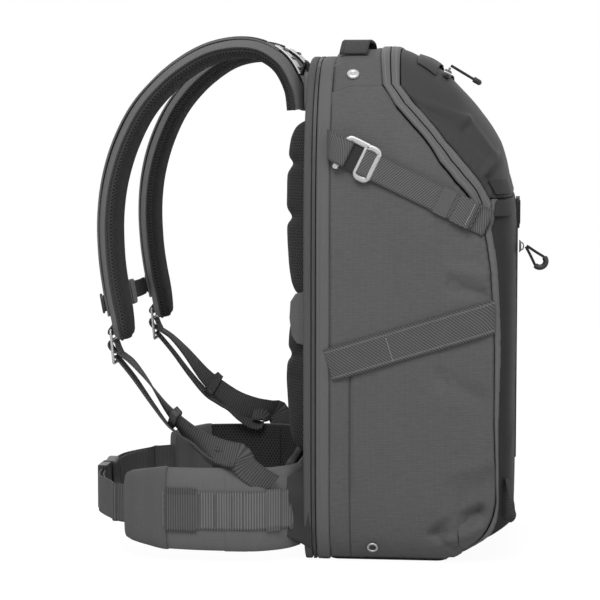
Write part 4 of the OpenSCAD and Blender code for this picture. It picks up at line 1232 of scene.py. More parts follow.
# ------------------------------------------------------------------ bag panels
@dataclass
class Panels:
    """The bag's sewn panels: sides, rear band, yoke, zip band, front and base.

    The side's folds are heights, starts and ends in the side view (y, z), and widths.  The stiff divider
    stands just inside the side at one y, and no fold goes deeper there than its ease.
    """

    seam_fold: tuple = (-10.0, (-33, 31), (-76, 52), 6.0)
    side_folds: tuple = ((3.2, (-42, 22), (-72, 34), 6), (-3.4, (-30, 30), (-52, 14), 3.0),
                         (2.4, (-47, 288), (-90, 281), 7), (-3.6, (-49, 272), (-86, 262), 6),
                         (-2.8, (-37, 184), (-73, 165), 8), (2.0, (-88, 99), (-52, 92), 6),
                         (-3.0, (-88, 84), (-58, 66), 13), (-0.9, (-92, 165), (-60, 140), 14),
                         (-0.8, (-90, 300), (-60, 285), 12), (0.7, (-91, 140), (-72, 128), 6),
                         (-1.6, (50, 190), (49, 5), 2.4))
    front_folds: tuple = ((-1.1, (-105, 44), (105, 44), 2.2), (0.8, (-120, 120), (-80, 150), 9),
                          (0.8, (120, 110), (70, 150), 9))
    divider_y: float = -49.5
    divider_ease: float = 2.2
    band_half: float = 6.5

    def build(self) -> None:
        """Build every panel that is fixed to the bag."""
        both(Piece("side_cloth", self.side(), SIDE_CLOTH, "bag", "side_fabric", ("side_panel",),
                   wall=CLOTH_WALL))
        Piece("rear_band_cloth", self.rear_band(), BORDER_CLOTH, "bag", "band_fabric",
              ("rear_border",)).build()
        Piece("yoke_cloth", self.yoke(), SIDE_CLOTH, "bag", "shell_fabric", ("top_yoke",),
              wall=CLOTH_WALL).build()
        Piece("zip_band_cloth", self.zip_band(), ZIP_BAND, "bag", "zip", ("lid_zip_band",),
              wall=CLOTH_WALL).build()
        Piece("front_cloth", self.front(), (FRONT_CLOTH, CORNER_LIGHT_CLOTH), "bag", "shell_fabric",
              ("front_panel",), wall=CLOTH_WALL).build()
        Piece("base_boot", self.base(), BASE_CLOTH, "bag", "base_fabric", ("base_panel",), bevel=1.0).build()

    def side(self) -> Shape:
        """The right side: a fan of rings from the middle to its seam, with soft folds.

        A point is skin(angle, s * edge(angle)); the folds are sums of exp(-(distance / width)^2) along
        segments seen from the side, and a low ripple.
        """
        turns = np.unique(np.concatenate([np.linspace(0, 360, 381)[:-1], [82.0, 132.7, 258.0, 304.2, 71.7]]))
        share = 1 - (1 - np.linspace(0, 1, 72)[1:]) ** 1.7
        edge = SKIN.edge(turns)
        a, s = np.meshgrid(turns, share)
        grid = SKIN.point(a, s * edge[None])
        rim = grid[-1]
        away = (1 - s) * (edge * SKIN.radius(turns))[None]
        along = np.broadcast_to(lengths(rim)[None], away.shape)
        y, z = grid[..., 1], grid[..., 2]
        calm = np.exp(-((z - 218 - (70 - y) * 0.28) / 34) ** 4)
        calm += np.exp(-((z - 372 - (y + 10) * 0.49) / 34) ** 4)
        relief = (ripple(y, z, 5, 120) - 0.75) * 1.3 * (1 - 0.75 * np.clip(calm, 0, 1))
        fade = np.clip((-y - 22) / 20, 0, 1)
        relief += folds(y, z, (self.seam_fold,)) * fade + folds(y, z, self.side_folds)
        floor = self.divider_ease + 9.0 * np.clip((np.abs(y - self.divider_y) - 4) / 16, 0, 1)
        relief = np.maximum(relief, -floor) * np.clip(away / 6, 0, 1)
        hub_x = SKIN.half_w + float(relief[0].mean())
        sewn = away + 60.0 * ((turns < 81.9) & (np.abs(edge - 0.85) < 1e-6))[None]
        grid = rolled(grid, sewn, along, relief)
        grid[:8] = SKIN.point(a[:8], s[:8] * edge[None]) + (hub_x - SKIN.half_w, 0, 0)
        grid[..., 2] = np.maximum(grid[..., 2], 0.0)
        count = len(turns)
        faces = grid_faces(*grid.shape[:2], ring=True)
        points = np.vstack([grid.reshape(-1, 3), [[hub_x, SKIN.core_y, SKIN.core_z]]])
        hub = [np.array([len(points) - 1, (j + 1) % count, j]) for j in range(count)]
        strip = np.stack([along, sewn], axis=-1).reshape(-1, 2)[faces]
        if flipped(points, faces, INSIDE):
            faces, strip = faces[:, ::-1], strip[:, ::-1]
        a0, b0, c0 = points[hub[0]]
        if np.cross(b0 - a0, c0 - a0)[0] < 0:
            hub = [h[::-1] for h in hub]
        return Shape(points, faces, hub, strip)

    def rear_band(self) -> Shape:
        """The border round the door: a puffed loop with one sewn line.

        Across the band the shift inwards is 1.7 * |u|^8 + 0.5 * exp(-((u - 0.45) / 0.07)^2).
        """
        outline = SKIN.back_outline(0.0)
        inner = SKIN.back_outline(3.0)
        u = np.linspace(-1, 1, 15)
        depth = 1.7 * np.abs(u) ** 8 + 0.5 * np.exp(-((u - 0.45) / 0.07) ** 2)
        mix = depth[None, :, None] / 3.0
        flat_out = outline[:, None] * (1 - mix) + inner[:, None] * mix
        y = SKIN.border_y + self.band_half * (1 + u)
        outside = np.stack([flat_out[..., 0], np.broadcast_to(y, flat_out.shape[:2]), flat_out[..., 1]],
                           axis=-1)
        back = np.stack([inner[:, 0], np.full(len(inner), y[-1]), inner[:, 1]], axis=-1)[:, None]
        front = np.stack([inner[:, 0], np.full(len(inner), y[0]), inner[:, 1]], axis=-1)[:, None]
        ring = np.concatenate([outside, back, front], axis=1)
        return Shape.tube(ring, closed=True)

    def yoke(self) -> Shape:
        """The panel over the back edge, from the border to the zip band."""
        q = np.linspace(-1, 1, 141)
        seam = ((0, SKIN.yoke_rho), (360, SKIN.yoke_rho))
        first = SKIN.cross(SKIN.border_y, q, seam, 1, 60, 80)
        s = np.linspace(0, 1, 40)[:, None]
        a = first[None] + s * (SKIN.band_rear[0][0] - first[None])
        grid = SKIN.wrap(a, q, seam)
        away = np.minimum(s * 46, (1 - s) * 46) + 0 * a
        along = np.broadcast_to(lengths(grid[0])[None], a.shape)
        relief = (ripple(grid[..., 0], grid[..., 1], 8, 70) - 0.8) * 0.5 * np.clip(away / 8, 0,
                                                                                   1) * (1 - q**8)
        return Shape.surface(rolled(grid, away, along, relief), INSIDE, (along, away))

    def _band_edge(self, seam: Sequence) -> Array:
        """One edge of the zip band: up the left side, over the top and down the right."""
        seam = np.asarray(seam, float)
        s = np.linspace(len(seam) - 1, 0, 90, endpoint=False)
        k = np.arange(len(seam))
        side = SKIN.point(np.interp(s, k, seam[:, 0]), np.interp(s, k, seam[:, 1]))
        q = np.linspace(1, 0, 60)
        a = np.full(q.shape, seam[0, 0])
        top = SKIN.point(a, 1 - (1 - seam[0, 1]) * q ** SKIN.swell(a))
        half = np.vstack([side, top])
        return np.vstack([half * (-1, 1, 1), half[::-1][1:]])

    def zip_band(self) -> Shape:
        """The band of the lid's zip: two flat lips with a hairline between them and sunk edges.

        Across it the height is 0.3 - 1.8 * |u|^10 - 0.8 * exp(-(u / 0.06)^2), with a low ridge on
        each side of the hairline.
        """
        rear, front = self._band_edge(SKIN.band_rear), self._band_edge(SKIN.band_front)
        u = np.unique(np.concatenate([np.linspace(-1, 1, 21), [-0.12, -0.05, 0.05, 0.12]]))
        t = ((u + 1) / 2)[None, :, None]
        grid = rear[:, None] * (1 - t) + front[:, None] * t
        height = 0.3 - 1.8 * np.abs(u) ** 10 - 0.8 * np.exp(-(u / 0.06) ** 2)
        height += 0.25 * np.exp(-((np.abs(u) - 0.2) / 0.1) ** 2)
        grid = grid + grid_normals(grid, INSIDE) * height[None, :, None]
        along = np.broadcast_to(lengths(rear)[:, None], grid.shape[:2])
        across = np.broadcast_to((u[None] + 1) / 2 * 16.0, grid.shape[:2])
        return Shape.surface(grid, INSIDE, (along, across))

    def front(self) -> Shape:
        """The front panel: hinge line to chin; along its side seams a lighter copy of its cloth is painted
        light where the front turns round the corner.
        """
        seam = SKIN.beside(SKIN.front_seam, SEAM_GAP)
        q = spread(181)
        first = SKIN.cross(FRONT_TOP, q, seam)
        s = np.linspace(0, 1, 130)[:, None]
        a = first[None] + s * (SKIN.turns[-1] - first[None])
        grid = SKIN.wrap(a, q, seam)
        away, along = panel_runs(grid)
        x, z = grid[..., 0], grid[..., 2]
        edges = np.minimum(away, along)
        relief = (ripple(x, z, 11, 110) - 0.8) * 1.1 - 1.0 * np.exp(-((away - 8) / 1.8) ** 2)
        relief += folds(x, z, self.front_folds)
        calm = 1 - crease(x, z, (-62, 96), (-62, 326), 12)
        grid = rolled(grid, edges, along, relief * calm * np.clip(edges / 6, 0, 1))
        shape = Shape.surface(grid, INSIDE, (along, away))
        # faces near the side seams take the lighter copy: painted light on the rounded corner
        near = (away < 8)[:-1, :-1] & (away < 8)[1:, 1:]
        shape.tints = near.reshape(-1).astype(int)
        return shape

    def base(self) -> Shape:
        """The base's plate, with round corners."""
        return slab(round_outline(2 * 117.0, 113.0, 9, (0, 14.3)), 0.0, 2.4)


@dataclass
class Lid:
    """The lid that opens forward, with the goggle pocket's flap and zip.

    The flank's folds are heights, starts and ends in the side view (y, z), and widths.
    """

    flank_folds: tuple = ((2.4, (-10, 451), (-60, 431), 4), (2.4, (-60, 431), (-86, 398), 4),
                          (-2.2, (-12, 444), (-60, 422), 5), (-2.2, (-60, 422), (-82, 396), 5),
                          (-3.6, (-101, 402), (-84, 376), 4), (2.6, (-97, 406), (-79, 380), 4))
    top_turn: float = 86.65
    zip_lean: float = math.radians(27)

    def build(self) -> None:
        """Build the lid's cloth, flap and zip."""
        Piece("lid_cloth", self.shell(), LID_CLOTH, "lid", "shell_fabric", ("lid_shell",),
              wall=CLOTH_WALL).build()
        Piece("goggle_flap_cloth", self.flap(), FLAP_CLOTH, "lid", "shell_fabric", ("goggle_flap",),
              wall=1.3).build()
        Piece("goggle_zip_tape", self.track(), DARK_ZIP, "lid", "zip", ("goggle_zip_track",)).build()

    def seam(self) -> list:
        """The lid's own seam, a running gap in front of the band."""
        return SKIN.beside(SKIN.band_front, LID_GAP)

    def shell(self) -> Shape:
        """The lid: zip band to hinge line, with the flank's long soft fold and small puckers."""
        q = spread(201)
        last = SKIN.cross(LID_FOOT, q, self.seam())
        s = np.linspace(0, 1, 110)[:, None]
        a = self.top_turn + s * (last[None] - self.top_turn)
        grid = SKIN.wrap(a, q, self.seam())
        away, along = panel_runs(grid)
        edges = np.minimum(away, np.minimum(along, along[-1:] - along))
        y, z, x = grid[..., 1], grid[..., 2], grid[..., 0]
        flank = np.clip((np.abs(x) - 70) / 25, 0, 1)
        relief = (ripple(x, y * 1.3, 21, 80) - 0.8) * 1.0
        relief += flank * folds(y, z, self.flank_folds)
        relief -= 0.9 * np.exp(-((np.abs(x) - 96) / 2.0) ** 2) * (1 - flank) * np.clip(-y / 30, 0, 1)
        grid = rolled(grid, edges, along, relief * np.clip(edges / 6, 0, 1))
        return Shape.surface(grid, INSIDE, (along, away))

    def flap(self) -> Shape:
        """The rain flap over the goggle zip: a lifted lip, full at its hem."""
        q = np.linspace(-0.62, 0.62, 80)
        s = np.linspace(0, 1, 16)[:, None]
        a = 90.2 + s * 4.6 + 0 * q[None]
        grid = SKIN.wrap(a, q, self.seam(), -0.3)
        side_fade = 1 - np.abs(q[None] / 0.62) ** 10
        lift = (0.9 + 2.4 * np.sin(s * np.pi * 0.62) + 0.25 * np.cos(grid[..., 0] / 5.2)
                * s) * side_fade + 0.5
        grid = grid + grid_normals(grid, INSIDE) * lift[..., None]
        return Shape.surface(grid, INSIDE)

    def track(self) -> Shape:
        """The goggle zip's tape, bent over the lid."""
        x = np.linspace(-67, 67, 41)
        a = np.full(x.shape, 97.2)
        n = SKIN.swell(a)
        rho = (1 - np.abs(x / SKIN.half_w) ** n) ** (1 / n)
        at = SKIN.point(a, rho)
        c, s = math.cos(self.zip_lean), math.sin(self.zip_lean)
        path = np.column_stack([x, at[:, 1], at[:, 2]]) + (0, -s, c)
        return tape_along(path, (0, -c, -s), 1, 8.0, 1.0)


# ------------------------------------------------------------------ fittings on the bag
@dataclass
class Fittings:
    """Webbing, hooks, rivets, zips and cord pulls on the bag and lid."""

    rise: float = 26.0
    plane: float = 142.3
    pivot: tuple = (-62.0, 342.0)
    hook_at: float = 97.0
    bar: float = 6.0
    plate: float = 3.0

    def build(self) -> None:
        """Build each fitting; those with a twin are mirrored."""
        for name, shape, finish, slot in self._swinging():
            both(Piece(name[0], shape, finish, "", slot, name[1], angle=60), "compression")
        both(Piece("anchor_webbing", self.anchor(), SIDE_WEB, "bag", "webbing", ("strap_anchor",)))
        both(Piece("hook_loop", self.loop(), SIDE_WEB, "bag", "webbing", ("side_loop",)))
        both(Piece("ski_webbing", self.ski_strap(), SKI_WEB, "bag", "webbing", ("ski_strap",)))
        both(Piece("ski_stitches", self.ski_stitches(), THREAD, "bag", "webbing"))
        Piece("handle_webbing", self.handle(), DARK_WEB, "bag", "webbing", ("carry_handle",)).build()
        rivet = self.rivet()
        Piece("handle_rivets", rivet.paired(), SATIN, "bag", "dark_metal", ("yoke_rivets",)).build()
        ring, hole = self.eyelet()
        Piece("eyelet_rings", ring.paired(), SATIN, "bag", "dark_metal", ("drain_eyelets",)).build()
        # black discs in the eyelets: painted shade where the holes look into the bag
        Piece("eyelet_hole_shade", hole.paired(), BLACK_PLASTIC, "bag", "dark_plastic").build()
        Piece("axe_webbing", self.axe_loop(), DARK_WEB, "bag", "webbing", ("axe_loop",)).build()
        self._front_patch()
        Piece("front_zip_tape", self.front_zip(), DARK_ZIP, "bag", "zip", ("front_zip_track",)).build()
        self._pulls()
        lower, upper = self.patch(337, 352, SEAM_GAP), self.patch(357.5, 372, 0.0053)
        both(Piece("lower_hinge_strap", lower, PATCH_CLOTH, "bag", "side_fabric", wall=2.0, bevel=0.6))
        both(Piece("upper_hinge_strap", upper, PATCH_CLOTH, "lid", "side_fabric", wall=2.0, bevel=0.6))

    def _local(self) -> Array:
        """Turn from strap coordinates (up the strap, across, outwards) to the bag's."""
        c, s = math.cos(math.radians(self.rise)), math.sin(math.radians(self.rise))
        return np.array([[0, 0, 1], [c, s, 0], [s, -c, 0]], float)

    def on_strap(self, shape: Shape) -> Shape:
        """Put a shape from strap coordinates on the side of the bag."""
        return shape.moved(self._local(), (self.plane, self.pivot[0], self.pivot[1]))

    def _swinging(self) -> list:
        """The pieces that swing with a side strap: webbing, patch, a dark sheet of painted shade under the
        hook, keeper, stitches and hook.
        """
        web = Route([(-9, 0, 1.0), (0, 0, 0.95), (30, 0, 0.9), (60, 0, 1.1), (90, 0, 1.0), (97, 0, 1.3),
                     (104, 0, 2.6), (109, 0, 3.3), (112.5, 0, 2.0)], (0, -1, 0), 5)
        strap = web.carry(tape_profile(26, 1.8, 0.15))
        patch = slab(round_outline(14.2, 26.6, 0.8, (23.6, 0)), 1.7, 2.6)
        ribs = Route([(0, -13.4, 2.5), (0, 0, 2.7), (0, 13.4, 2.5)], (1, 0, 0), 8)
        keeper = ribs.carry(tape_profile(20, 1.6, 0.1), shift=2.5)
        row = self._dashes([(-3.2, -11, 3.6), (-3.2, 11, 3.6)], 9, 0.55)
        return [(("side_webbing", ("side_strap",)), self.on_strap(strap), SIDE_WEB, "webbing"),
                (("strap_patch", ()), self.on_strap(patch), SLEEVE_CLOTH, "harness_fabric"),
                # a dark sheet under the hook: painted shade in the gap between the loop and the frame
                (("painted_shade_under_hook", ()), self.on_strap(slab(round_outline(16, 25, 1, (119, 0)), -0.3, 0.6)),
                 PATCH_CLOTH, "webbing"), (("strap_keeper", ()), self.on_strap(keeper), SIDE_WEB, "webbing"),
                (("keeper_stitches", ()), self.on_strap(row), THREAD, "webbing"),
                (("bent_hook", ("side_hook",)), self.on_strap(self.hook()), SATIN, "aluminium")]

    @staticmethod
    def _dashes(ends: Sequence, count: int, thick: float) -> Shape:
        """A row of stitches: short rounded threads end to end with small gaps."""
        a, b = np.asarray(ends, float)
        step = (b - a) / count
        parts = []
        for k in range(count):
            p = a + step * (k + 0.12)
            q = a + step * (k + 0.88)
            lift = np.array([0, 0, thick * 0.4]) if abs(step[0]) < 1e-6 else np.zeros(3)
            side = np.cross(step, (0.3, 0.2, 1.0))
            parts.append(Route([p - lift, (p + q) / 2, q - lift], side, 2).cord(thick, 6))
        return parts[0].joined(*parts[1:])

    def hook(self) -> Shape:
        """The hook: a closed slot and an arm with a free end, of flat bar with rounded edges."""
        low, high, tall = self.hook_at + self.bar / 2, self.hook_at + 18.5 - self.bar / 2, 15.4
        flat = round_outline(high - low, 2 * tall, 4.4, ((high + low) / 2, 0), 5)
        frame = np.column_stack([flat, np.full(len(flat), self.plate / 2)])
        ring = self._bar(frame, True)
        t = np.radians(np.linspace(-90, 0, 6))
        arm = [(high - 1, -tall, self.plate / 2), (high + 6, -tall - 0.1, self.plate / 2)]
        arm += [(128.2 + 4.4 * np.cos(v), -tall + 4.4 + 4.4 * np.sin(v), self.plate / 2) for v in t]
        arm += [(132.6, 0, self.plate / 2), (132.6, 14, self.plate / 2), (132.5, 17.6, self.plate / 2)]
        return ring.joined(self._bar(arm, False))

    def _bar(self, path: Sequence, closed: bool) -> Shape:
        """Flat bar along a path in the strap's plane; its width lies in the plane."""
        p = np.asarray(path, float)
        run = np.roll(p, -1, axis=0) - np.roll(p, 1, axis=0) if closed else np.gradient(p, axis=0)
        side = np.cross((0, 0, 1), unit(run))
        if closed:
            at = blend_points(np.vstack([p, p[:1]]), 3)[:-1]
            around = unit(blend_points(np.vstack([side, side[:1]]), 3)[:-1])
            out = np.broadcast_to((0.0, 0.0, 1.0), at.shape)
            prof = tape_profile(self.bar, self.plate, 0, 4)
            rings = at[:, None] + around[:, None] * prof[None, :, :1] + out[:, None] * prof[None, :, 1:]
            return Shape.tube(rings, closed=True)
        ends = np.ones(3 * (len(p) - 1) + 1)
        ends[-1] = 0.55
        return Route(p, side, 3).carry(tape_profile(self.bar, self.plate, 0, 4), wide=ends)

    def anchor(self) -> Shape:
        """The anchor under the strap's round end, sewn into the front seam."""
        c, s = math.cos(math.radians(self.rise)), math.sin(math.radians(self.rise))
        reach = np.array([9, 2, -5, -11, -16, -20, -22])
        y, z = self.pivot[0] + reach * c, self.pivot[1] + reach * s
        skin = np.maximum(SKIN.side_x(y + s * 13, z - c * 13), SKIN.side_x(y - s * 13, z + c * 13)) + 1.3
        ease = np.clip(1 + reach / 24, 0, 1) ** 2
        x = np.where(reach >= 0, self.plane - 1.3, skin + np.maximum(self.plane - 1.3 - skin, 0) * ease)
        x[-1] -= 1.5
        return tape_along(np.column_stack([x, y, z]), (0, -s, c), 5, 27.5, 1.8, 0.15)

    def loop(self) -> Shape:
        """The sewn loop round the hook's arm, its ends sheared to run into the upright seam."""
        foot = SKIN.side_x(70, 406) - self.plane
        x = [147.5, 138, 131, 127.4, 126.5, 127.4, 131, 138, 145, 148.5]
        z = [-1.0, -0.6, -0.9, -0.6, 1.6, 3.9, 4.6, 4.7, 3.2, foot * 0.25 + 0.4]
        path = np.column_stack([x, np.zeros(10), z])
        shape = tape_along(path, (0, 1, 0), 6, 26, 1.5, 0.15)
        u, v = shape.points[:, 0].copy(), shape.points[:, 1]
        shape.points[:, 0] = u - math.tan(math.radians(self.rise)) * v * np.clip((u - 131) / 12, 0, 1)
        return self.on_strap(shape)

    def ski_strap(self) -> Shape:
        """The wide strap across the side, lying on the skin: x = skin + lift."""
        t = np.linspace(0, 1, 22)
        y, z = 70.5 + t * (-88.5 - 70.5), 194.5 + t * 48.6
        across = unit(np.array([0, -48.8, -159.5]))[None] * -1
        x = np.maximum.reduce([SKIN.side_x(y + k * across[0, 1], z + k * across[0, 2])
                               for k in (-14, 0, 14)]) + 1.5
        x = x + 0.25 * np.sin(t * 9) - 1.5 * np.exp(-(t / 0.012) ** 2) - 1.5 * np.exp(-((1 - t) / 0.012) ** 2)
        shape = tape_along(np.column_stack([x, y, z]), across[0], 4, 32, 1.9, 0.2, 14)
        p = shape.points
        off = (p - (x[-1], y[-1], z[-1])) @ across[0]
        slide = off * 0.306 * np.clip((-72 - p[:, 1]) / 14, 0, 1)
        p += slide[:, None] * np.array([0, -0.956, 0.292])
        return shape

    def ski_stitches(self) -> Shape:
        """The stitched row across the ski strap."""
        top, low = np.array([15.1, 222.0]), np.array([7.9, 199.6])
        ends = [(SKIN.side_x(*p) + 2.5, *p) for p in (top, low)]
        return self._dashes(ends, 10, 0.5)

    def handle(self) -> Shape:
        """The carry handle: z = middle - fall * t^4 over the gap, then flat feet."""
        t = np.linspace(-0.8, 0.8, 13)
        rho = (1 - np.abs(np.array([62.0, 76.0]) / SKIN.half_w) ** 3.6) ** (1 / 3.6)
        foot = SKIN.point(np.full(2, 80.0), rho)[:, 2] + 1.7
        x = np.concatenate([[-78, -70], t * 62, [70, 78]])
        z = np.concatenate([foot[[1, 0]], SKIN.yoke_z + 8.4 * (1 - 0.8 * t**4), foot])
        path = np.column_stack([x, np.full(len(x), 52.0), z])
        grip = 1 + 0.55 * np.exp(-(np.linspace(-1, 1, (len(x) - 1) * 6 + 1) / 0.45) ** 4)
        return Route(path, (0, 1, 0), 6).carry(tape_profile(28, 1.9, 0.1), thick=grip)

    def rivet(self) -> Shape:
        """A domed rivet with a sunk middle, leaning with the skin."""
        profile = [(0.05, 1.5), (1.8, 1.5), (2.3, 2.2), (4.2, 2.4), (5.6, 1.7), (6.2, 0.6), (6.2, 0.0),
                   (0.05, 0.0)]
        c = math.cos(math.radians(45))
        turn = np.array([[c, 0, c], [0, 1, 0], [-c, 0, c]])
        x = float(SKIN.side_x(50, 474))
        return turned(profile).moved(turn, (x + 0.2, 50, 474.2))

    def eyelet(self) -> tuple[Shape, Shape]:
        """A rolled ring, and a black disc in it as painted shade for the hole."""
        t = np.linspace(0, 2 * np.pi, 14, endpoint=False)
        ring = turned(np.column_stack([4.4 + 1.1 * np.cos(t), 0.6 + 0.95 * np.sin(t)]), 36)
        hole = turned([(0.05, 0.0), (3.6, 0.0), (3.6, 0.35), (0.05, 0.35)], 24)
        lean = math.atan2(float(SKIN.side_x(28, 20.5) - SKIN.side_x(28, 10.5)), 10)
        c, s = math.cos(lean), math.sin(lean)
        turn = np.array([[0, 0, 1], [0, 1, 0], [-1, 0, 0]], float)
        tilt = np.array([[c, 0, s], [0, 1, 0], [-s, 0, c]])
        place = (float(SKIN.side_x(28, 15.5)) + 0.25, 28, 15.5)
        return ring.moved(tilt @ turn, place), hole.moved(tilt @ turn, place)

    def axe_loop(self) -> Shape:
        """The short loop at the left front corner: the skin's point lifted by a table."""
        lifts = np.array([0, 5, 9, 10, 9, 5, 0]) + 1.3
        seam = SKIN.beside(SKIN.front_seam, SEAM_GAP)
        a = 240.4 + 0.85 * np.arange(7)
        q = np.full(7, -0.9)
        at = np.array([SKIN.wrap(a[k:k + 1], q[k:k + 1], seam, -lifts[k])[0] for k in range(7)])
        side = SKIN.wrap(a, q + 0.03, seam) - SKIN.wrap(a, q - 0.03, seam)
        return tape_along(at, side, 5, 11, 1.6, 0.1)

    def patch(self, low: float, high: float, share: float) -> Shape:
        """A short strap round the front corner between two heights."""
        table = SKIN.front_seam if low < 355 else SKIN.band_front
        seam = SKIN.beside(table, share)
        q = np.linspace(0.7, 0.955, 26)
        top = SKIN.cross(high, q, seam)
        base = SKIN.cross(low, q, seam)
        s = np.linspace(0, 1, 8)[:, None]
        a = top[None] + s * (base - top)[None]
        grid = SKIN.wrap(a, q, seam, -2.4)
        return Shape.surface(grid, INSIDE)

    def _front_patch(self) -> None:
        """The stiff patch in the middle of the front, with a raised rim."""
        outline = round_outline(64, 30, 4)
        rim = round_outline(56, 22, 3)
        plate = slab(outline, -1.8, 2.2).joined(slab(rim, 2.1, 2.9))
        Piece("front_patch", plate.moved(FACE_FRONT, (0, -109.3, 337)), PATCH_CLOTH, "bag", "side_fabric",
              ("front_tab",), bevel=0.5).build()

    def front_zip(self) -> Shape:
        """The front pocket's zip tape."""
        z = np.linspace(326, 96, 24)
        path = np.column_stack([np.full(24, -62.0), np.full(24, -109.2), z])
        return tape_along(path, (1, 0, 0), 2, 7, 1.7)

    def _slider(self) -> Shape:
        """A zip slider: body, crown and an arched bail; Y runs along the zip and Z away from it."""
        arch = Route([(0, -3.6, 1.6), (0, -3.0, 3.6), (0, 0, 4.4), (0, 3.0, 3.6), (0, 3.6, 1.6)], (1, 0, 0),
                     4)
        body = slab(round_outline(8, 12, 2.6), 0, 1.3).joined(slab(round_outline(6.2, 10, 2.2), 1.3, 2.2))
        return body.joined(arch.carry(tape_profile(2.2, 1.2, 0, 2)))

    def pull(self, along: Sequence, across: Sequence, at: Sequence, length: float) -> tuple[Shape, Shape]:
        """A cord pull: two legs to a round end, and a moulded grip over the end.

        Args:
            along: Direction from the bail to the end.
            across: Direction across the loop.
            at: Where the cord passes the bail.
            length: Distance to the round end's centre.

        Returns:
            The cord and its grip.
        """
        v, u, p = (np.asarray(k, float) for k in (along, across, at))
        t = np.radians(np.linspace(0, 180, 9))
        flat = [(0.6, 0.0), (3.4, length * 0.55)] + [(6 * math.cos(k), length + 6 * math.sin(k)) for k in t]
        flat += [(-3.4, length * 0.55), (-0.6, 0.0)]
        path = np.array([p + u * a + v * b for a, b in flat])
        normal = np.cross(u, v)
        cord = Route(path, normal, 4).cord(2.7)
        grip = Route(path[2:-2], normal, 4).cord(5.6, 14)
        return cord, grip

    def _pulls(self) -> None:
        """Sliders and cord pulls of the goggle and front zips."""
        drop = math.radians(31)
        lean = Lid.zip_lean
        c, s = math.cos(lean), math.sin(lean)
        out = np.array([0, -s, c])
        seat = np.array([-55, -43.03, 483.61]) - out * 7.1
        frame = np.array([(1.0, 0, 0), (0, c, s), out]).T @ np.array([[0, -1, 0], [1, 0, 0], [0, 0, 1]],
                                                                     float)
        Piece("goggle_zip_slider_body", self._slider().moved(frame, seat), STEEL, "goggle_zip_slider",
              "dark_metal", ("goggle_slider",), bevel=0.3).build()
        cord, grip = self.pull((0, -math.cos(drop), -math.sin(drop)), (1, 0, 0), (-55, -43.03, 483.61), 26)
        Piece("goggle_cord", cord, CORD_BLACK, "goggle_pull", "cord", ("goggle_puller",)).build()
        Piece("goggle_grip", grip, BLACK_PLASTIC, "goggle_pull", "dark_plastic").build()
        Piece("front_zip_slider_body", self._slider().moved(FACE_FRONT, (-62, -111.3, 306)), STEEL,
              "front_zip_slider", "dark_metal", ("front_slider",), bevel=0.3).build()
        drop = math.radians(48)
        cord, grip = self.pull((0, -math.cos(drop), -math.sin(drop)), (0, math.sin(drop), -math.cos(drop)),
                               (-62, -118.4, 306), 20)
        Piece("front_cord", cord, CORD_BLACK, "front_pull", "cord", ("front_puller",)).build()
        Piece("front_grip", grip, BLACK_PLASTIC, "front_pull", "dark_plastic").build()


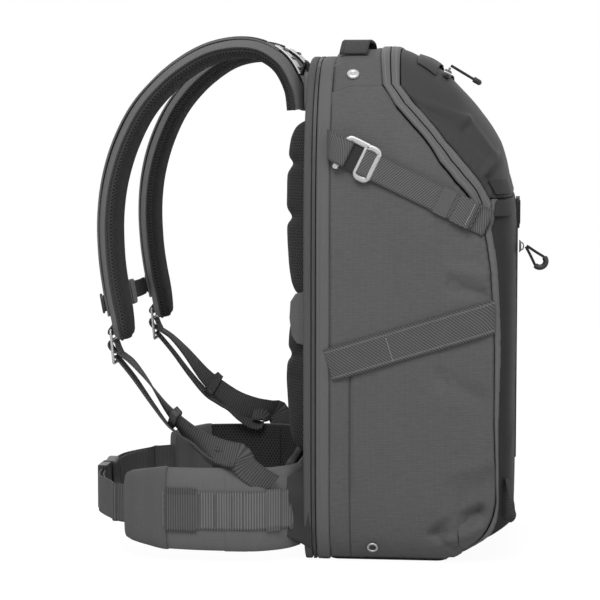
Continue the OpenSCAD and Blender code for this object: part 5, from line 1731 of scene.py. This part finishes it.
# ------------------------------------------------------------------ rear door and harness
@dataclass
class SoftPad:
    """A crowned pad with sewn channels, swollen by a short cloth simulation."""

    name: str
    node: str
    half: float
    low: float
    high: float
    base: float
    thick: float
    channels: tuple
    cap: float = 5.0
    voxel: float = 5.0
    shrink: float = 2.5
    pressure: float = 4.0
    frames: int = 20

    def start(self) -> Shape:
        """The pad before it swells: depth = thick * (1 - |u|^6)^0.4 * (1 - |v|^8)^0.4, a little small."""
        u = np.sin(np.linspace(-1, 1, 45) * np.pi / 2)[None, :]
        v = np.sin(np.linspace(-1, 1, 55) * np.pi / 2)[:, None]
        full = np.maximum(0, 1 - np.abs(u) ** 6) ** 0.4 * np.maximum(0, 1 - np.abs(v) ** 8) ** 0.4
        depth = (self.thick - 3.0 - self.shrink) * full
        x = u * (self.half - 1.5) + 0 * v
        z = (self.low + self.high) / 2 + v * (self.high - self.low - 3.0) / 2 + 0 * u
        outer = np.stack([x, self.base + 3.0 + depth, z], axis=-1)
        inner = np.stack([x, np.full(x.shape, self.base), z], axis=-1)
        m, n = x.shape
        loop = np.concatenate([np.arange(n), np.arange(1, m) * n + n - 1,
                               (m - 1) * n + np.arange(n - 2, -1, -1), np.arange(m - 2, 0, -1) * n])
        faces = grid_faces(m, n)
        rim = np.stack([loop, np.roll(loop, -1), np.roll(loop, -1) + m * n, loop + m * n], axis=1)
        points = np.vstack([outer.reshape(-1, 3), inner.reshape(-1, 3)])
        quads = np.vstack([faces, faces[:, ::-1] + m * n, rim[:, ::-1]])
        if flipped(points, quads, None):
            quads = quads[:, ::-1]
        return Shape(points, quads)

    def channel_depth(self, x: Array, z: Array) -> Array:
        """How deep the sewn lines are: a sum of exp(-((place - line) / width)^2)."""
        u = x / self.half
        v = (z - (self.low + self.high) / 2) / ((self.high - self.low) / 2)
        lines = [np.exp(-((v - c - 0.05 * u**2) / 0.045) ** 2) for c in self.channels]
        return 0.3 * np.exp(-(u / 0.1) ** 2) + 0.24 * np.max(lines,
                                                             axis=0) * (1 - 0.5 * np.exp(-(u / 0.1) ** 2))

    def build(self) -> None:
        """Make the pad, swell it, sew its channels and dress it."""
        piece = Piece(self.name, self.start(), PAD_MESH, "door", "mesh_pad", (self.node,)).build()
        self._swell(piece)
        mesh = piece.data
        p = read_points(mesh) / MM
        depth = np.maximum(p[:, 1] - self.base, 0)
        p[:, 1] = self.base + depth * (1 - self.channel_depth(p[:, 0], p[:, 2]))
        p[:, 1] += np.clip(depth / 12, 0, 1) * 0.5 * ripple(p[:, 0], p[:, 2], 31, 46)
        write_points(mesh, p * MM)
        mesh.polygons.foreach_set("use_smooth", np.ones(len(mesh.polygons), bool))
        modify(piece, "smooth", "SUBSURF", levels=1, render_levels=1)

    def _swell(self, piece: bpy.types.Object) -> None:
        """Remesh the pad, blow it up with cloth pressure for its frames and cap each point's shift."""
        scene = bpy.context.scene
        for other in bpy.context.selected_objects:
            other.select_set(False)
        bpy.context.view_layer.objects.active = piece
        piece.select_set(True)
        remesh = modify(piece, "remesh", "REMESH", mode="VOXEL", voxel_size=self.voxel * MM)
        bpy.ops.object.modifier_apply(modifier=remesh.name)
        start = read_points(piece.data)
        held = piece.vertex_groups.new(name="held")
        held.add(np.nonzero(start[:, 1] < (self.base + 1.5) * MM)[0].tolist(), 1.0, "REPLACE")
        cloth = piece.modifiers.new("cloth", "CLOTH")
        cloth.settings.use_pressure = True
        cloth.settings.uniform_pressure_force = self.pressure
        cloth.settings.effector_weights.gravity = 0.0
        cloth.settings.vertex_group_mass = held.name
        cloth.settings.quality = 5
        for frame_number in range(1, self.frames + 1):
            scene.frame_set(frame_number)
        shown = piece.evaluated_get(bpy.context.evaluated_depsgraph_get())
        shift = read_points(shown.data) - start
        size = np.linalg.norm(shift, axis=1, keepdims=True)
        shift *= np.minimum(1.0, self.cap * MM / np.maximum(size, 1e-9))
        after = start + shift
        after[:, 1] = np.maximum(after[:, 1], self.base * MM)
        after[:, 0] = np.clip(after[:, 0], -self.half * MM, self.half * MM)
        after[:, 2] = np.clip(after[:, 2], (self.low + 0.3) * MM, (self.high - 0.3) * MM)
        piece.modifiers.remove(cloth)
        write_points(piece.data, after)
        piece.vertex_groups.clear()
        scene.frame_set(1)


@dataclass
class RearDoor:
    """The door's padded rim, its pads, their side tabs and the sewn shoulder yoke."""

    board_y: float = 86.8
    rim_y: float = 95.4
    rim_w: float = 22.0

    def build(self) -> None:
        """Build the rim, the three pads, the yoke and the tabs."""
        Piece("door_rim_cloth", self.rim(), RIM_CLOTH, "door", "side_fabric", ("door_rim",), fill=0.7).build()
        pad_base = self.board_y + 2.6
        SoftPad("upper_pad_mesh", "upper_back_pad", 98, 251, 432, pad_base, 31, (0.48, -0.1)).build()
        SoftPad("lumbar_pad_mesh", "lumbar_pad", 98, 99, 245, pad_base, 31, (0.3,)).build()
        SoftPad("belt_pad_mesh", "belt_pad", 84, 16, 91, 110.0, 16, (0.0,), cap=3.0, voxel=4.0).build()
        yoke = slab(round_outline(180, 38, 8), 0.0, 12.4)
        Piece("yoke_pad", yoke.moved(FACE_BACK, (0, 87.3, 458.5)), STRAP_CLOTH, "door", "harness_fabric",
              ("shoulder_yoke",), bevel=3.0, fill=0.6).build()
        tab = slab([(94, 208), (106, 211), (111, 219), (113, 236), (112, 252), (107, 260), (94, 263)], 0.0,
                   2.4)
        side = np.array([[0, 0, 1], [1, 0, 0], [0, 1, 0]], float)
        both(Piece("pad_tab", tab.moved(side, (98.6, 0, 0)), STRAP_CLOTH, "door", "harness_fabric",
                   bevel=1.0))

    def rim(self) -> Shape:
        """The padded rim: a roll round the door, a superellipse of power 5 with one sewn line."""
        outer, inner = SKIN.back_outline(0.4, 70), SKIN.back_outline(self.rim_w, 70)
        t = np.linspace(0, 2 * np.pi, 40, endpoint=False)
        u, v = squared(np.cos(t), 0.4), squared(np.sin(t), 0.4)
        share = (1 - u) / 2
        y = (self.board_y + 0.3 + self.rim_y) / 2 + v * (self.rim_y - self.board_y - 0.3) / 2
        y = y - 0.55 * np.exp(-((share - 0.24) / 0.05) ** 2) * (v > 0.5)
        mix = share[None, :, None]
        flat_out = outer[:, None] * (1 - mix) + inner[:, None] * mix
        rings = np.stack([flat_out[..., 0], np.broadcast_to(y, flat_out.shape[:2]), flat_out[..., 1]],
                         axis=-1)
        return Shape.tube(rings, closed=True)


@dataclass
class ShoulderHarness:
    """The padded shoulder straps with their webbing, plates, adjusters and the sternum strap."""

    width: float = 68.0
    web: float = 25.0
    points: tuple = ((60, 109.4, 441), (61, 112.4, 462), (64, 124, 484), (68, 143, 497), (73, 165, 500),
                     (79, 190, 495), (86, 213, 483), (93, 236, 464), (100, 257, 438), (105, 273, 405),
                     (109, 283, 370), (112, 287, 335), (114, 286, 300), (115, 282, 268), (116, 277, 240),
                     (116, 274, 216))
    taper: tuple = ((0, 0.86), (0.15, 1), (0.7, 0.96), (0.9, 0.86), (0.96, 0.72), (1, 0.42))
    lower: tuple = ((116, 283.3, 204), (119, 268, 194), (123, 250, 174), (128, 232, 150), (134, 213, 131),
                    (140, 196, 118), (149, 176, 110), (159, 155, 107))
    on_belt: tuple = ((156.5, 150.5, 97), (154.9, 137.7, 86), (148.7, 124.5, 77))

    def build(self) -> None:
        """Build both straps and everything on them."""
        route = Route(self.points, (-1, 0, 0), 8)
        at = route.frame()[0]
        share = np.linspace(0, 1, len(at))
        wide = np.interp(share, *np.transpose(self.taper))
        soft = 1 + 0.035 * ripple(share * 600, share * 0, 41, 60)
        end = np.clip((1 - share) / 0.02, 0.35, 1) ** 0.5
        shell = pad_profile(self.width, 1.4, 8.4, 1.2, 4.0)
        mesh = pad_profile(self.width - 2, 8.8, 1.0, 1.2, 4.0)
        both(Piece("strap_shell", route.carry(shell, wide, soft * end, 0.6), STRAP_CLOTH, "door",
                   "harness_fabric", ("shoulder_strap",), fill=0.6))
        both(Piece("strap_mesh", route.carry(mesh, wide, soft * end, -0.4), HARNESS_MESH, "door", "mesh_pad",
                   fill=0.6))
        both(Piece("strap_binding", self._binding(route, wide), STRAP_EDGE, "door", "harness_fabric"))
        both(Piece("strap_overlay", self._overlay(route), STRAP_CLOTH, "door", "harness_fabric"))
        web = self._along(route, 24, 112, 11.2)
        both(Piece("strap_tape", web.carry(tape_profile(self.web, 1.8, 0.15)), HARNESS_WEB, "door", "webbing",
                   ("strap_webbing",)))
        self._lifters(route)
        self._adjusters()
        self._lower()
        self._sternum()

    @staticmethod
    def _along(route: Route, first: int, last: int, lift: float) -> Route:
        """A route that follows another one's outer side between two stations."""
        at, _, _, out = route.frame()
        path = (at + out * lift)[first:last + 1]
        return Route(path, (-1, 0, 0), 1)

    def _binding(self, route: Route, wide: Array) -> Shape:
        """Bound edges: a thin cord at each side of the strap, following its taper."""
        at, _, side, out = route.frame()
        parts = []
        for sign in (-1, 1):
            path = at + side * (sign * (self.width / 2 - 0.3) * wide)[:, None] + out * 0.2
            parts.append(Route(path, (-1, 0, 0), 1).cord(3.0, 8))
        return parts[0].joined(parts[1])

    def _overlay(self, route: Route) -> Shape:
        """A second strip of cloth on the strap's outer face, loose along its rim."""
        span = np.linspace(0, 1, 93)
        base = self._along(route, 20, 112, 8.6)
        lift = 0.8 + 0.5 * np.sin(span * 14) * np.sin(span * np.pi)
        wide = 1 - 0.25 * np.abs(2 * span - 1) ** 3
        return base.carry(tape_profile(52, 1.6, 0.4, 12), wide, 1.0, lift)

    def _lifters(self, route: Route) -> None:
        """Plates on the strap roots, their folded webbing, and the load lifters."""
        at, _, _, out = route.frame()
        path = (at + out * 11.6)[[21, 18, 15, 12, 11]]
        path[:, 0] = 64
        plate = Route(path, (-1, 0, 0), 4)
        shape = plate.carry(tape_profile(30, 2.4, 0.3, 8))
        bars = [Route([(52, p[1], p[2] + 2.1), (64, p[1], p[2] + 2.3), (76, p[1], p[2] + 2.1)], (0, 1, 0),
                      4).cord(3.4, 10) for p in path[1:4] + (0, 0.5, 0)]
        Piece("lifter_plate_pair", shape.paired(), SATIN, "door", "aluminium", ("lifter_plates",),
              angle=60).build()
        knobs = bars[0].joined(*bars[1:])
        Piece("lifter_folds", knobs.paired(), BLACK_PLASTIC, "door", "dark_plastic").build()
        end = path[-1]
        line = Route([(64, end[1] - 0.5, end[2] - 1.0), (64, 99.4, 487), (64, 96.6, 479), (64, 96.6, 474)],
                     (-1, 0, 0), 8)
        web = line.carry(tape_profile(23, 1.8, 0.15))
        Piece("lifter_webbing", web.paired(), DARK_WEB, "door", "webbing", ("load_lifters",)).build()

    def _adjusters(self) -> None:
        """Ladder buckles that hang from the strap tips: a frame with two cross bars."""
        top, low = np.array([116, 286.2, 226.0]), np.array([116, 283.2, 191.0])
        down = unit(low - top)
        half, tall = 13.2, float(np.linalg.norm(low - top)) - 3.2
        flat = round_outline(2 * half, tall, 3.0, (0, 0), 4)
        corners = (top + low) / 2 + flat[:, :1] * np.array([1.0, 0, 0]) - flat[:, 1:] * down
        normal = np.cross((1.0, 0, 0), down)
        frame_shape = Route(corners, normal, 3, True).carry(tape_profile(2.8, 3.4, 0, 3))
        parts = [frame_shape]
        for place in (-0.18, 0.2):
            mid = (top + low) / 2 - down * tall * place
            ends = [mid - np.array([half, 0, 0]), mid, mid + np.array([half, 0, 0])]
            parts.append(Route(ends, normal, 4).cord(3.0, 10))
        ladder = parts[0].joined(*parts[1:])
        Piece("ladder_buckles", ladder.paired(), SATIN, "door", "aluminium", ("strap_adjusters",),
              angle=60).build()
        hold = tape_along([(116, 280.5, 236), (116, 285.0, 229), (116, 288.3, 224.5), (116, 288.4, 221),
                           (116, 284.6, 220.5), (116, 281.0, 227), (116, 278.5, 233)], (-1, 0, 0), 6, 22, 1.7,
                          0.1)
        fold = tape_along([(116, 283.3, 203), (116, 286.9, 205.5), (116, 289.0, 209.5), (116, 287.6, 213.5),
                           (116, 283.0, 213.2), (116, 280.4, 207), (117, 277.5, 201)], (-1, 0, 0), 6, 22, 1.7,
                          0.1)
        both(Piece("ladder_webbing", hold.joined(fold), HARNESS_WEB, "door", "webbing"))

    def _lower(self) -> None:
        """The lower webbing with its returning tail and keepers."""
        free = blend_points(self.lower, 2)
        path = np.vstack([free, self.on_belt])
        count = len(free)
        s = np.clip((np.arange(len(path)) / count - 0.15) / 0.8, 0, 1)[:, None]
        sides = np.array([1.0, 0, 0]) * (1 - s) + np.array([0, -0.73, 0.68]) * s
        sides[count:] = [(0.1, -0.62, 0.78), (0.1, -0.62, 0.78), (0.1, -0.62, 0.78)]
        main = tape_along(path, sides, 4, self.web, 1.8, 0.15)
        both(Piece("lower_tape", main, HARNESS_WEB, "door", "webbing", ("lower_webbing",)))
        tail = [(116, 283.5, 199), (117, 266, 178), (120, 247, 152), (125, 230, 131), (130, 216, 121),
                (134.5, 204.5, 114), (138, 193.5, 104), (140.5, 182, 96.5), (142.5, 172.5, 94.5),
                (144, 167.2, 99.5), (144.5, 171.5, 104.5), (143, 180, 107)]
        back = np.clip((np.arange(12) / 12 - 0.1) / 0.7, 0, 1)[:, None]
        tail_sides = np.array([1.0, 0, 0]) * (1 - back) + np.array([0.75, -0.4, 0.45]) * back
        tape = tape_along(tail, tail_sides, 6, 20, 1.5, 0.1)
        both(Piece("spare_tail", tape, HARNESS_WEB, "door", "webbing"))
        at, along, side, out = Route(path, sides, 4).frame()
        k = 28
        ring = []
        for u, v in ((14.2, 2.2), (12.6, 3.4), (-12.6, 3.4), (-14.2, 2.2), (-14.2, -2.2), (-12.6, -3.4),
                     (12.6, -3.4), (14.2, -2.2)):
            ring.append(at[k] + side[k] * u + out[k] * v)
        keeper = Route(ring, along[k], 4, True).carry(tape_profile(8.5, 1.5, 0.1))
        Piece("tape_keepers", keeper.paired(), HARNESS_WEB, "door", "webbing", ("webbing_keepers",)).build()

    def _sternum(self) -> None:
        """The sternum strap: webbing, a small side-release buckle and two rail sliders."""
        middle = np.array([0.0, 291.15, 251.41])
        up = unit(np.array([-0.0, 0.1757, 0.9838]))
        out = unit(np.cross((1.0, 0, 0), up)) * -1
        turn = np.array([(1.0, 0, 0), up, out]).T
        x = np.linspace(-99, 99, 23)
        path = np.column_stack([x, 0.5 * np.sin(x / 17), 1.9 + 0 * x])
        web = tape_along(path, (0, 1, 0), 4, 18, 1.7, 0.1)
        Piece("sternum_tape", web.moved(turn, middle), DARK_WEB, "sternum", "webbing",
              ("sternum_strap",)).build()
        male = slab(round_outline(18, 23, 4, (-13, 0)), -2.6,
                    6.4).joined(slab(round_outline(10, 15, 2, (-2, 0)), -0.8, 4.6))
        female = slab(round_outline(23, 25.6, 5, (10.4, 0)), -3.0,
                      7.0).joined(slab(round_outline(6, 17, 2, (17, 0)), 6.8, 7.6))
        Piece("sternum_buckle", male.joined(female).moved(turn, middle), BLACK_PLASTIC, "sternum",
              "dark_plastic", bevel=1.1).build()
        slide = slab(round_outline(33, 16, 4), 0.1, 3.2).joined(slab(round_outline(8, 20, 3, (-9, 0)), 3.1,
                                                                     4.4))
        pair = slide.moved(np.eye(3), (-115.56, 0, 0)).joined(slide.moved(np.diag([-1.0, 1, 1]),
                                                                          (115.56, 0, 0)))
        Piece("rail_sliders", pair.moved(turn, middle), BLACK_PLASTIC, "sternum", "dark_plastic",
              ("sternum_sliders",), bevel=0.8).build()


# ------------------------------------------------------------------ hip belt
@dataclass
class HipBelt:
    """The belt's core, its padded wings with their webbing ladder, and the buckle."""

    wing_z: float = 53.0
    tall: float = 80.0
    core: tuple = ((148, 159.2), (147, 140), (134, 118), (114, 104.7), (88, 102.7))
    wing: tuple = ((148, 160), (149, 185), (148, 210), (143, 238), (133, 263), (120, 283))
    taper: tuple = ((0, 1), (0.55, 0.98), (0.8, 0.84), (1, 0.56))
    hem: tuple = (118.914, 284.559)
    buckle_y: float = 314.56
    last: int = 41

    def build(self) -> None:
        """Build the belt from the back to the buckle."""
        self._core()
        self._wings()
        self._bridges()
        self._webbing()
        self._buckle()

    def _core(self) -> None:
        """The core: mesh inside, cloth outside, one piece each from wing to wing."""
        right = [(x, y, self.wing_z) for x, y in self.core]
        path = right + [(-x, y, z) for x, y, z in right[::-1]]
        route = Route(path, (0, 0, -1), 10)
        soft = 1 + 0.03 * ripple(lengths(route.frame()[0]), 0, 51, 70)
        ends = np.ones(len(soft))
        ends[[0, -1]] = 0.55
        outer = pad_profile(self.tall, 1.2, 6.4, 1.2, 4.0)
        inner = pad_profile(self.tall - 2, 6.6, 1.0, 1.2, 4.0)
        Piece("core_cloth", route.carry(outer, 1.0, soft * ends, 0.5), WING_CLOTH, "door", "harness_fabric",
              ("belt_core",), fill=0.6).build()
        Piece("core_mesh", route.carry(inner, 1.0, soft * ends, -0.3), HARNESS_MESH, "door", "mesh_pad",
              fill=0.6).build()
        at, _, _, out = route.frame()
        for name, first, last, width, lift in (("core_ladder", 1, 30, 38, 7.4),
                                               ("core_keeper", 13, 18, 42, 8.7),
                                               ("core_seam_strip", 22, 29, 42, 8.7)):
            strip = tape_along((at + out * lift)[first:last + 1], (0, 0, -1), 2, width, 1.8, 0.2, 12)
            both(Piece(name, strip, MOLLE_WEB, "door", "webbing"))
        both(Piece("belt_gusset", self._gusset(), STRAP_EDGE, "door", "harness_fabric", wall=2.0))

    @staticmethod
    def _gusset() -> Shape:
        """A slack triangle of cloth from the core's outer face to the door: a lofted sheet that sags in."""
        front = blend_points([(141.5, 124, 78), (140.5, 121, 60), (139.5, 119, 42), (137.5, 115, 27)], 8)
        rear = blend_points([(139.0, 93, 92), (140.0, 91, 66), (140.0, 90, 42), (138.0, 89, 14)], 8)
        s = np.linspace(0, 1, 14)[None, :, None]
        grid = front[:, None] * (1 - s) + rear[:, None] * s
        grid[..., 0] -= 4.0 * np.sin(s[..., 0] * np.pi) * (1 + 0.3 * np.cos(grid[..., 2] / 7))
        return Shape.surface(grid, (0, 100, 50))

    def _wing_route(self, steps: int = 10) -> Route:
        """The right wing's middle line; its side direction is down, so out faces away from the waist."""
        return Route([(x, y, self.wing_z) for x, y in self.wing], (0, 0, 1), steps)

    def _wings(self) -> None:
        """Each wing: padded cloth outside, mesh inside, the ladder strip and the sleeve near its tip."""
        route = self._wing_route()
        at = route.frame()[0]
        share = np.linspace(0, 1, len(at))
        wide = np.interp(share, *np.transpose(self.taper))[:self.last + 1]
        seen = share[:self.last + 1] / share[self.last]
        soft = (1 + 0.06 * ripple(seen * 130, seen * 0, 61, 46)) * np.clip((1 - seen) / 0.03, 0.4, 1) ** 0.5
        soft *= np.clip(seen / 0.02, 0.6, 1) ** 0.5
        short = Route(at[:self.last + 1], (0, 0, 1), 1)
        outer = pad_profile(self.tall, 1.2, 6.7, 1.2, 3.6)
        inner = pad_profile(self.tall - 2, 6.7, 1.0, 1.2, 3.6)
        both(Piece("wing_cloth", short.carry(outer, wide, soft, 0.4), WING_CLOTH, "", "harness_fabric",
                   ("hip_wing",), fill=0.6), "wing")
        both(Piece("wing_mesh", short.carry(inner, wide, soft, -0.3), HARNESS_MESH, "", "mesh_pad", fill=0.6),
             "wing")
        both(Piece("wing_ladder", self._strip(1, 27, 7.6, 38), MOLLE_WEB, "", "webbing"), "wing")
        for name, first, last, width, lift in (("ladder_end", 15, 26, 42, 8.9),
                                               ("wing_tongue", 36, 50, 38, 0.0)):
            both(Piece(name, self._strip(first, last, lift, width), BELT_WEB, "", "webbing"), "wing")
        both(Piece("wing_sleeve", self._sleeve(), SLEEVE_CLOTH, "", "harness_fabric"), "wing")
        both(Piece("wing_bartacks", self._tacks((2, 8, 14, 26)), THREAD_DARK, "", "webbing"), "wing")

    def _bridges(self) -> None:
        """Cloth, mesh and ladder strips that run on from the core to each wing."""
        path = [(147.6, 149, self.wing_z), (147.95, 156, self.wing_z), (148.1, 164, self.wing_z),
                (148.5, 171, self.wing_z)]
        route = Route(path, (0, 0, 1), 6)
        soft = np.concatenate([[0.86], np.ones(17), [0.86]])
        for name, profile, lift, finish in (("belt_bridge_cloth", pad_profile(80.8, 1.2, 7.1, 1.2, 3.8), 0.4,
                                             WING_CLOTH), ("belt_bridge_mesh",
                                                           pad_profile(78.8, 7.1, 1.0, 1.2, 3.8), -0.3,
                                                           HARNESS_MESH),
                                            ("belt_bridge_strip", tape_profile(38.2, 1.8, 0.2, 12), 7.9,
                                             MOLLE_WEB)):
            shape = route.carry(profile, 1.0, soft, lift)
            for side, sign, form in (("right", 1, shape), ("left", -1, shape.mirrored())):
                bend = (f"wing_{side}", (sign * 0.148, 0.152, 0.053), (sign * 0.148, 0.168, 0.053))
                Piece(f"{name}_{side}", form, finish, "door", "harness_fabric", bend=bend).build()

    def _strip(self, first: int, last: int, lift: float, width: float) -> Shape:
        """A strip on the wing's outer face between two stations of its route."""
        at, _, _, out = self._wing_route().frame()
        path = (at + out * lift)[first:last + 1]
        return tape_along(path, (0, 0, 1), 2, width, 1.8, 0.2, 12)

    def _sleeve(self) -> Shape:
        """The plain sleeve that wraps the wing near its tip."""
        route = self._wing_route()
        at, _, side, out = route.frame()
        t = np.linspace(0, 2 * np.pi, 48, endpoint=False)
        u, v = squared(np.cos(t), 0.35), squared(np.sin(t), 0.6)
        span = np.arange(26, self.last + 2)
        wide = np.interp(np.linspace(0, 1, len(at)), *np.transpose(self.taper))[span]
        half = (self.tall / 2 + 1.6) * wide
        bulge = 8.8 + 0.5 * np.sin(span * 0.9)
        rings = (at[span][:, None] + side[span][:, None] * (u[None] * half[:, None])[..., None]
                 + out[span][:, None] * (v[None] * bulge[:, None])[..., None])
        return Shape.tube(rings)

    def _tacks(self, stations: Sequence[int]) -> Shape:
        """Bar tacks across the ladder strip: tight zigzags of thread."""
        at, along, _, out = self._wing_route().frame()
        parts = []
        for k in stations:
            z = np.linspace(-17, 17, 29)
            zigzag = np.where(np.arange(29) % 2 == 0, 0.9, -0.9)
            lift = 10.2 if 15 <= k <= 26 else 8.9
            path = at[k] + out[k] * lift + along[k] * zigzag[:, None] + np.array([0, 0, 1.0]) * z[:, None]
            parts.append(Route(path, out[k], 1).cord(0.5, 5))
        return parts[0].joined(*parts[1:])

    def _webbing(self) -> None:
        """Belt webbing from each wing's tip to the buckle, with its hem round the pin."""
        x, y = self.hem
        z = self.wing_z
        line = [(x + 2.2, y - 2.4, z), (x + 2.6, y + 0.4, z), (x + 0.4, y + 2.2, z), (x - 8, y + 4.4, z),
                (x - 30, y + 17, z), (70, self.buckle_y - 4.5, z), (48, self.buckle_y - 0.8, z),
                (35.5, self.buckle_y, z)]
        tape = tape_along(line, (0, 0, 1), 8, 38, 1.9, 0.2, 12)
        both(Piece("belt_tape", tape, BELT_WEB, "", "webbing", ("belt_webbing",)), "buckle")
        spare = [(41, self.buckle_y - 4.2, z), (60, self.buckle_y - 6.5, z), (84, self.buckle_y - 13.5, z),
                 (100, self.buckle_y - 22.5, z)]
        tail = tape_along(spare, (0, 0, 1), 8, 36, 1.6, 0.2, 12)
        both(Piece("belt_tail", tail, BELT_WEB, "", "webbing"), "buckle")

    def _buckle(self) -> None:
        """The side-release buckle: a forked male half and a hollow female half with thumb windows."""
        place = (0, self.buckle_y, self.wing_z)
        male = slab([(-34, -22), (-12, -22), (-7.2, -19), (-7.2, 19), (-12, 22), (-34, 22)], -4.8, 4.8)
        parts = [male]
        for s in (-1, 1):
            arm = [(-8, s * 12 - 4), (2, s * 12 - 4), (6, s * 12 - 1.5), (6, s * 12 + 3), (2, s * 12 + 4),
                   (-8, s * 12 + 4)]
            parts.append(slab(arm, -1.6, 1.6))
        parts += [slab(round_outline(3, 36, 1, (x, 0)), 4.6, 5.3) for x in (-29, -24.5, -20)]
        Piece("buckle_fork", parts[0].joined(*parts[1:]).moved(FACE_BACK, place), BLACK_PLASTIC,
              "buckle_left", "dark_plastic", ("hip_buckle_male",), bevel=0.7).build()
        shell = [self._female()]
        shell += [slab(round_outline(2.2, 30, 1, (x, 0)), 6.8, 7.5) for x in (18, 23, 28)]
        Piece("buckle_socket", shell[0].joined(*shell[1:]).moved(FACE_BACK, place), BLACK_PLASTIC,
              "buckle_right", "dark_plastic", ("hip_buckle_female",), bevel=0.7).build()

    @staticmethod
    def _female() -> Shape:
        """The hollow half: a rounded shell that is open towards the fork, drawn in at its waist."""
        x = np.array([-5.4, -4.8, 0, 6, 12, 20, 28, 33, 34])
        tall = np.array([21.6, 22, 22, 21, 19.6, 21, 22, 21, 20])
        deep = np.array([6.4, 7, 7, 7, 7, 7, 6.8, 5.6, 4.8])
        t = np.linspace(0, 2 * np.pi, 36, endpoint=False)
        u, v = squared(np.cos(t), 0.3), squared(np.sin(t), 0.35)
        outer = np.stack([np.broadcast_to(x[:, None], (9, 36)), tall[:, None] * u, deep[:, None] * v],
                         axis=-1)
        xi = np.array([9.5, 9.0, -5.4])
        hollow = np.array([0.05, 19.2, 20.2])
        low = np.array([0.02, 4.9, 5.4])
        inner = np.stack([np.broadcast_to(xi[:, None], (3, 36)), hollow[:, None] * u, low[:, None] * v],
                         axis=-1)
        return Shape.tube(np.concatenate([inner, outer]))


@dataclass
class KeptSolids:
    """The rigid frame solids that are shown as they are, each in its own finish."""

    finishes: tuple = (("back_board", BOARD_PLASTIC), ("frame_stays", STEEL), ("compartment_divider", LINING),
                       ("lid_slider", STEEL), ("back_slider", STEEL))

    def build(self) -> None:
        """Give each kept solid its material."""
        for node, finish in self.finishes:
            solid = frame["nodes"][node]
            for slot in solid.material_slots:
                slot.material = finish.material()
            LOG.info("kept solid %s in %s", node, finish.name)


def main() -> None:
    """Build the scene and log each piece."""
    logging.basicConfig(level=logging.INFO, format="%(name)s: %(message)s")
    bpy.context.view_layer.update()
    for part in (Studio(), Panels(), Lid(), Fittings(), RearDoor(), ShoulderHarness(), HipBelt(),
                 KeptSolids()):
        part.build()
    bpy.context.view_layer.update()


if __name__ == "__main__":
    main()
